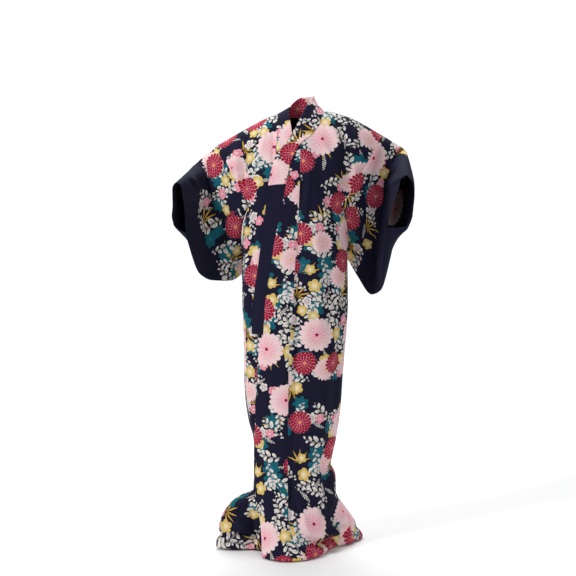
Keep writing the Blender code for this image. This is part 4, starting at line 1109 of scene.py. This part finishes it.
def printed_ground(finish, across, along):
    """The whole print, from the sprigs that lie lowest to the great dahlias on top."""
    ground = NAVY

    def scattered(kind):
        return finish.use(PLACE, across=across, along=along, **SCATTER[kind])

    def rings(ground, turn, r, table, notch, roundness, line, petal, edge):
        """Rings of petals one on another, each turned half a petal from the last."""
        for step, (radius, count) in enumerate(table):
            ground = finish.use(RING, ground=ground, turn=turn, r=r, radius=radius, count=float(count),
                                notch=notch, roundness=roundness, phase=math.pi / 2 * (step % 2), line=line,
                                petal=petal, edge=edge)
        return ground

    for kind in ("small_sprig_1", "small_sprig_2"):
        x, y, r, turn = scattered(kind)
        ground = finish.use(SPRIG, ground=ground, x=x, y=y, length=0.050, spacing=0.0068, long=0.0024,
                            wide=0.0030, spread=0.0040, marked=0.0)
    for kind in ("reed_1", "reed_2"):
        x, y, r, turn = scattered(kind)
        ground = finish.use(REED, ground=ground, x=x, r=r, turn=turn, radius=0.050, count=10.0, width=0.0026)
    for kind in ("leaf_1", "leaf_2"):
        x, y, r, turn = scattered(kind)
        ground = rings(ground, turn, r, ((0.034, 7), (0.019, 7)), 0.40, 0.8, 0.0003, TEAL, TEAL_VEIN)
    for kind in ("oval_1", "oval_2", "oval_3"):
        x, y, r, turn = scattered(kind)
        ground = finish.use(SPRIG, ground=ground, x=x, y=y, length=0.084, spacing=0.0204, long=0.0084,
                            wide=0.0088, spread=0.0112, marked=1.0)
    for kind, radius, tint, rim, heart in (
            ("cream_blossom", 0.019, CREAM, PALE, GREY_MARK),
            ("ochre_blossom_1", 0.024, OCHRE, OCHRE_EDGE, CREAM),
            ("rose_blossom", 0.020, ROSE, CREAM, DEEP_ROSE),
            ("ochre_blossom_2", 0.022, OCHRE, OCHRE_EDGE, CREAM)):
        x, y, r, turn = scattered(kind)
        petal = finish.use(GLOW, r=r, inner=0.003, outer=0.014, near=heart, far=tint)
        ground = rings(ground, turn, r, ((radius, 5),), 0.36, 0.6, 0.0004, petal, rim)
        ground = rings(ground, turn, r, ((radius * 0.34, 10),), 0.6, 0.9, 0.0001, rim, rim)
        ground = finish.use(DISC, ground=ground, r=r, radius=0.0020, colour=heart)
    for kind in ("daisy_1", "daisy_2"):
        x, y, r, turn = scattered(kind)
        petal = finish.use(GLOW, r=r, inner=0.008, outer=0.036, near=ROSE, far=SHELL)
        ground = rings(ground, turn, r, DAISY_RINGS, 0.26, 0.7, 0.0013, petal, CREAM)
        ground = finish.use(DISC, ground=ground, r=r, radius=0.0045, colour=ORANGE)
    for kind, table in (("pompon", POMPON_RINGS), ("spiky_pompon", SPIKY_RINGS)):
        x, y, r, turn = scattered(kind)
        ground = rings(ground, turn, r, table, 0.22, 0.6, 0.0010, CRIMSON, CRIMSON_EDGE)
        ground = finish.use(DISC, ground=ground, r=r, radius=0.0048, colour=ORANGE)
    x, y, r, turn = scattered("dahlia")
    petal = finish.use(GLOW, r=r, inner=0.008, outer=0.042, near=ROSE, far=SHELL)
    rim = finish.use(GLOW, r=r, inner=0.010, outer=0.036, near=PALE, far=CREAM)
    ground = rings(ground, turn, r, DAHLIA_RINGS, 0.18, 0.55, 0.0014, petal, rim)
    return finish.use(DISC, ground=ground, r=r, radius=0.0062, colour=HEART)


WAVER, WAVER_SCALE = 0.0022, 70.0       # the print's edges stray this far, in waves of this many per metre
SLUB_FINE, SLUB_LONG = 900.0, 60.0      # streaks of uneven yarn per metre, across it and along it
THREADS = 6800.0                        # the weave's ripple, in radians per metre
DENT_SCALE, DENT, SLUB_RISE, THREAD_RISE = 16.0, 0.0035, 0.00007, 0.00003    # relief of the cloth, in metres


def cotton(name, printed):
    """Plain-weave cotton with soft sheen, slubs and small dents; the reverse shows the print faintly."""
    material = bpy.data.materials.new(name)
    material.use_nodes = True
    finish = Finish(material.node_tree)
    shader = finish.tree.nodes["Principled BSDF"]
    cut = finish.add("ShaderNodeUVMap", {"uv_map": "cut"}).outputs[0]
    drift = finish.vector("SUBTRACT", finish.noise(cut, WAVER_SCALE, 1.0)["Color"], (0.5, 0.5, 0.5))
    drift = finish.vector("MULTIPLY", drift, (WAVER, WAVER, 0.0))
    across, along = finish.split(finish.vector("ADD", cut, drift))[:2]
    colour = printed_ground(finish, across * LAYOUT_SCALE, along * LAYOUT_SCALE) if printed else NAVY
    reverse = finish.add("ShaderNodeAttribute", {"attribute_name": "reverse"}).outputs["Fac"]
    colour = finish.mix(reverse, colour, finish.mix(0.30, colour, FADED))
    slub, thread = (Number(finish, finish.noise(finish.vector("MULTIPLY", cut, stretch), 1.0, 2.0)["Fac"])
                    for stretch in ((SLUB_FINE, SLUB_LONG, 1.0), (SLUB_LONG, SLUB_FINE, 1.0)))
    grain = slub + thread
    tone = grain * 0.10 + 0.90
    shade = finish.add("ShaderNodeMix", {"data_type": "RGBA", "blend_type": "MULTIPLY"},
                       {0: 1.0, 6: colour, 7: finish.join(tone, tone, tone)})
    finish.feed(shader, {"Base Color": shade.outputs[2], "Roughness": grain * 0.05 + 0.82,
                         "Sheen Weight": 0.02, "Sheen Roughness": 0.5, "Specular IOR Level": 0.10})
    dents = Number(finish, finish.noise(cut, DENT_SCALE, 3.0)["Fac"])
    u, v = finish.split(cut)[:2]
    weave = (u * THREADS).do("SINE") * (v * THREADS).do("SINE")
    height = dents * DENT + grain * SLUB_RISE + weave * THREAD_RISE
    bump = finish.add("ShaderNodeBump", None, {"Strength": 0.7, "Distance": 1.0, "Height": height})
    finish.feed(shader, {"Normal": bump.outputs[0]})
    return material


printed = cotton("printed_navy_cotton", True)
plain = cotton("plain_navy_cotton", False)


def lie_flat(grid, across, down, start):
    """A grid's flat cut, eased from a guess of its lengths, and put where it starts in the print's layout."""
    return flatten(grid, np.stack([across, down], axis=2)) + np.array(PRINT_START[start]) / LAYOUT_SCALE


def finish_piece(piece, material, node):
    piece.data.materials.append(material)
    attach(piece, "root")
    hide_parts(node)


PANEL_WIDTH = 0.30        # a body panel's width, at the end of which the sleeve starts
for side, name in SIDE_NAME.items():
    key = ("panel", side)
    grid = smooth[key]
    across, down = lengths_across(grid), lengths_down(grid)
    across = across[:, -1:] - across if side > 0 else across
    down = down - down[SHOULDER_ROW]
    middle = np.broadcast_to(down[:, down.shape[1] // 2, None], down.shape)
    cut = lie_flat(grid, side * (PANEL_WIDTH - across), -middle, key)
    shell = cloth_shell(name + "_body_cloth", pieces[key], normals[key], CLOTH, cut)
    finish_piece(shell, printed, name + "_body_panel")
    key = ("okumi", side)
    grid = smooth[key]
    cut = lie_flat(grid, lengths_across(grid), -lengths_down(grid), key)
    shell = cloth_shell(name + "_overlap_cloth", pieces[key], normals[key], CLOTH, cut)
    finish_piece(shell, printed, name + "_overlap")
    # The sleeve's cloth starts at its sewn lower edge, goes up one face, over the arm and down the other.
    key = ("sleeve", side)
    grid, place, out = (np.roll(ring[key], -SLEEVE_CORNER, axis=1) for ring in (smooth, pieces, normals))
    grid = np.concatenate([grid, grid[:, :1]], axis=1)
    around = lengths_across(grid)
    around = around - around[:, grid.shape[1] - 1 - SLEEVE_CORNER, None]
    cut = lie_flat(grid, side * (lengths_down(grid) + PANEL_WIDTH), side * around, key)
    shell = cloth_shell(name + "_sleeve_cloth", place, out, CLOTH, cut, True)
    finish_piece(shell, printed, name + "_sleeve")

grid = smooth["collar"]
cut = np.stack([lengths_across(grid), -lengths_down(grid)], axis=2)
shell = cloth_shell("collar_band", pieces["collar"], normals["collar"], BAND, cut)
finish_piece(shell, plain, "collar")
wrap = over_collar_grid(pieces["collar"], normals["collar"])
cut = lie_flat(wrap, lengths_across(wrap), -lengths_down(wrap), "over_collar")
shell = cloth_shell("over_collar_cloth", wrap, grid_normals(wrap), WRAP, cut)
finish_piece(shell, printed, "over_collar")

# Floor, light and camera.
STAGE = FLOOR - 0.001                   # the floor lies just under the hem
LEFT_END, RIGHT_END, NEAR_END, FAR_END = 2.4, -2.4, -1.8, 2.3
material = bpy.data.materials.new("pale_floor")
material.use_nodes = True
Finish(material.node_tree).feed(material.node_tree.nodes["Principled BSDF"],
                                {"Base Color": (0.96, 0.96, 0.96, 1.0), "Roughness": 0.9})
mesh = bpy.data.meshes.new("studio_floor")
mesh.from_pydata([(RIGHT_END, NEAR_END, STAGE), (LEFT_END, NEAR_END, STAGE), (LEFT_END, FAR_END, STAGE),
                  (RIGHT_END, FAR_END, STAGE)], [], [(0, 1, 2, 3)])
mesh.materials.append(material)
floor = bpy.data.objects.new("studio_floor", mesh)
bpy.context.scene.collection.objects.link(floor)

# The surround is white behind the robe and dim as a light.
SKY_LIGHT, SKY_BEHIND = 0.27, 0.85
world = bpy.data.worlds.new("studio")
world.use_nodes = True
sky = Finish(world.node_tree)
seen = Number(sky, sky.add("ShaderNodeLightPath").outputs["Is Camera Ray"])
sky.feed(world.node_tree.nodes["Background"], {0: (0.95, 0.97, 1.0, 1.0), 1: seen * SKY_BEHIND + SKY_LIGHT})
bpy.context.scene.world = world
for name, place, aim, width, power in (
        ("key_light", (-2.7, -1.9, 1.9), (0, 0, -0.25), 1.0, 104.0),
        ("fill_light", (1.6, -3.0, 1.3), (0, 0, -0.4), 2.2, 26.0),
        ("top_light", (0.0, 0.9, 2.6), (0, 0, -0.4), 2.0, 36.0),
        ("floor_light", (0.0, 2.2, 2.4), (0, 1.9, -1.4), 3.4, 120.0)):
    light = bpy.data.lights.new(name, "AREA")
    light.size, light.energy = width, power
    lamp = bpy.data.objects.new(name, light)
    bpy.context.scene.collection.objects.link(lamp)
    x, y, z = (a - b for a, b in zip(place, aim))
    lamp.location = place
    lamp.rotation_euler = (math.atan2(math.hypot(x, y), z), 0, math.atan2(x, -y))

SENSOR, FIELD = 36.0, 27.95             # millimetres wide, and the degrees that it takes in
TILT = math.radians(4.0)                # how far the camera looks down
AIM_X, AIM_Z, AWAY = -0.021, -0.563, 3.7
lens = bpy.data.cameras.new("studio_camera")
lens.sensor_width = SENSOR
lens.lens = SENSOR / 2 / math.tan(math.radians(FIELD / 2))
camera = bpy.data.objects.new("studio_camera", lens)
bpy.context.scene.collection.objects.link(camera)
camera.location = (AIM_X, -AWAY * math.cos(TILT), AIM_Z + AWAY * math.sin(TILT))
camera.rotation_euler = (math.pi / 2 - TILT, 0, 0)
bpy.context.scene.camera = camera
bpy.context.scene.view_settings.view_transform = "Standard"
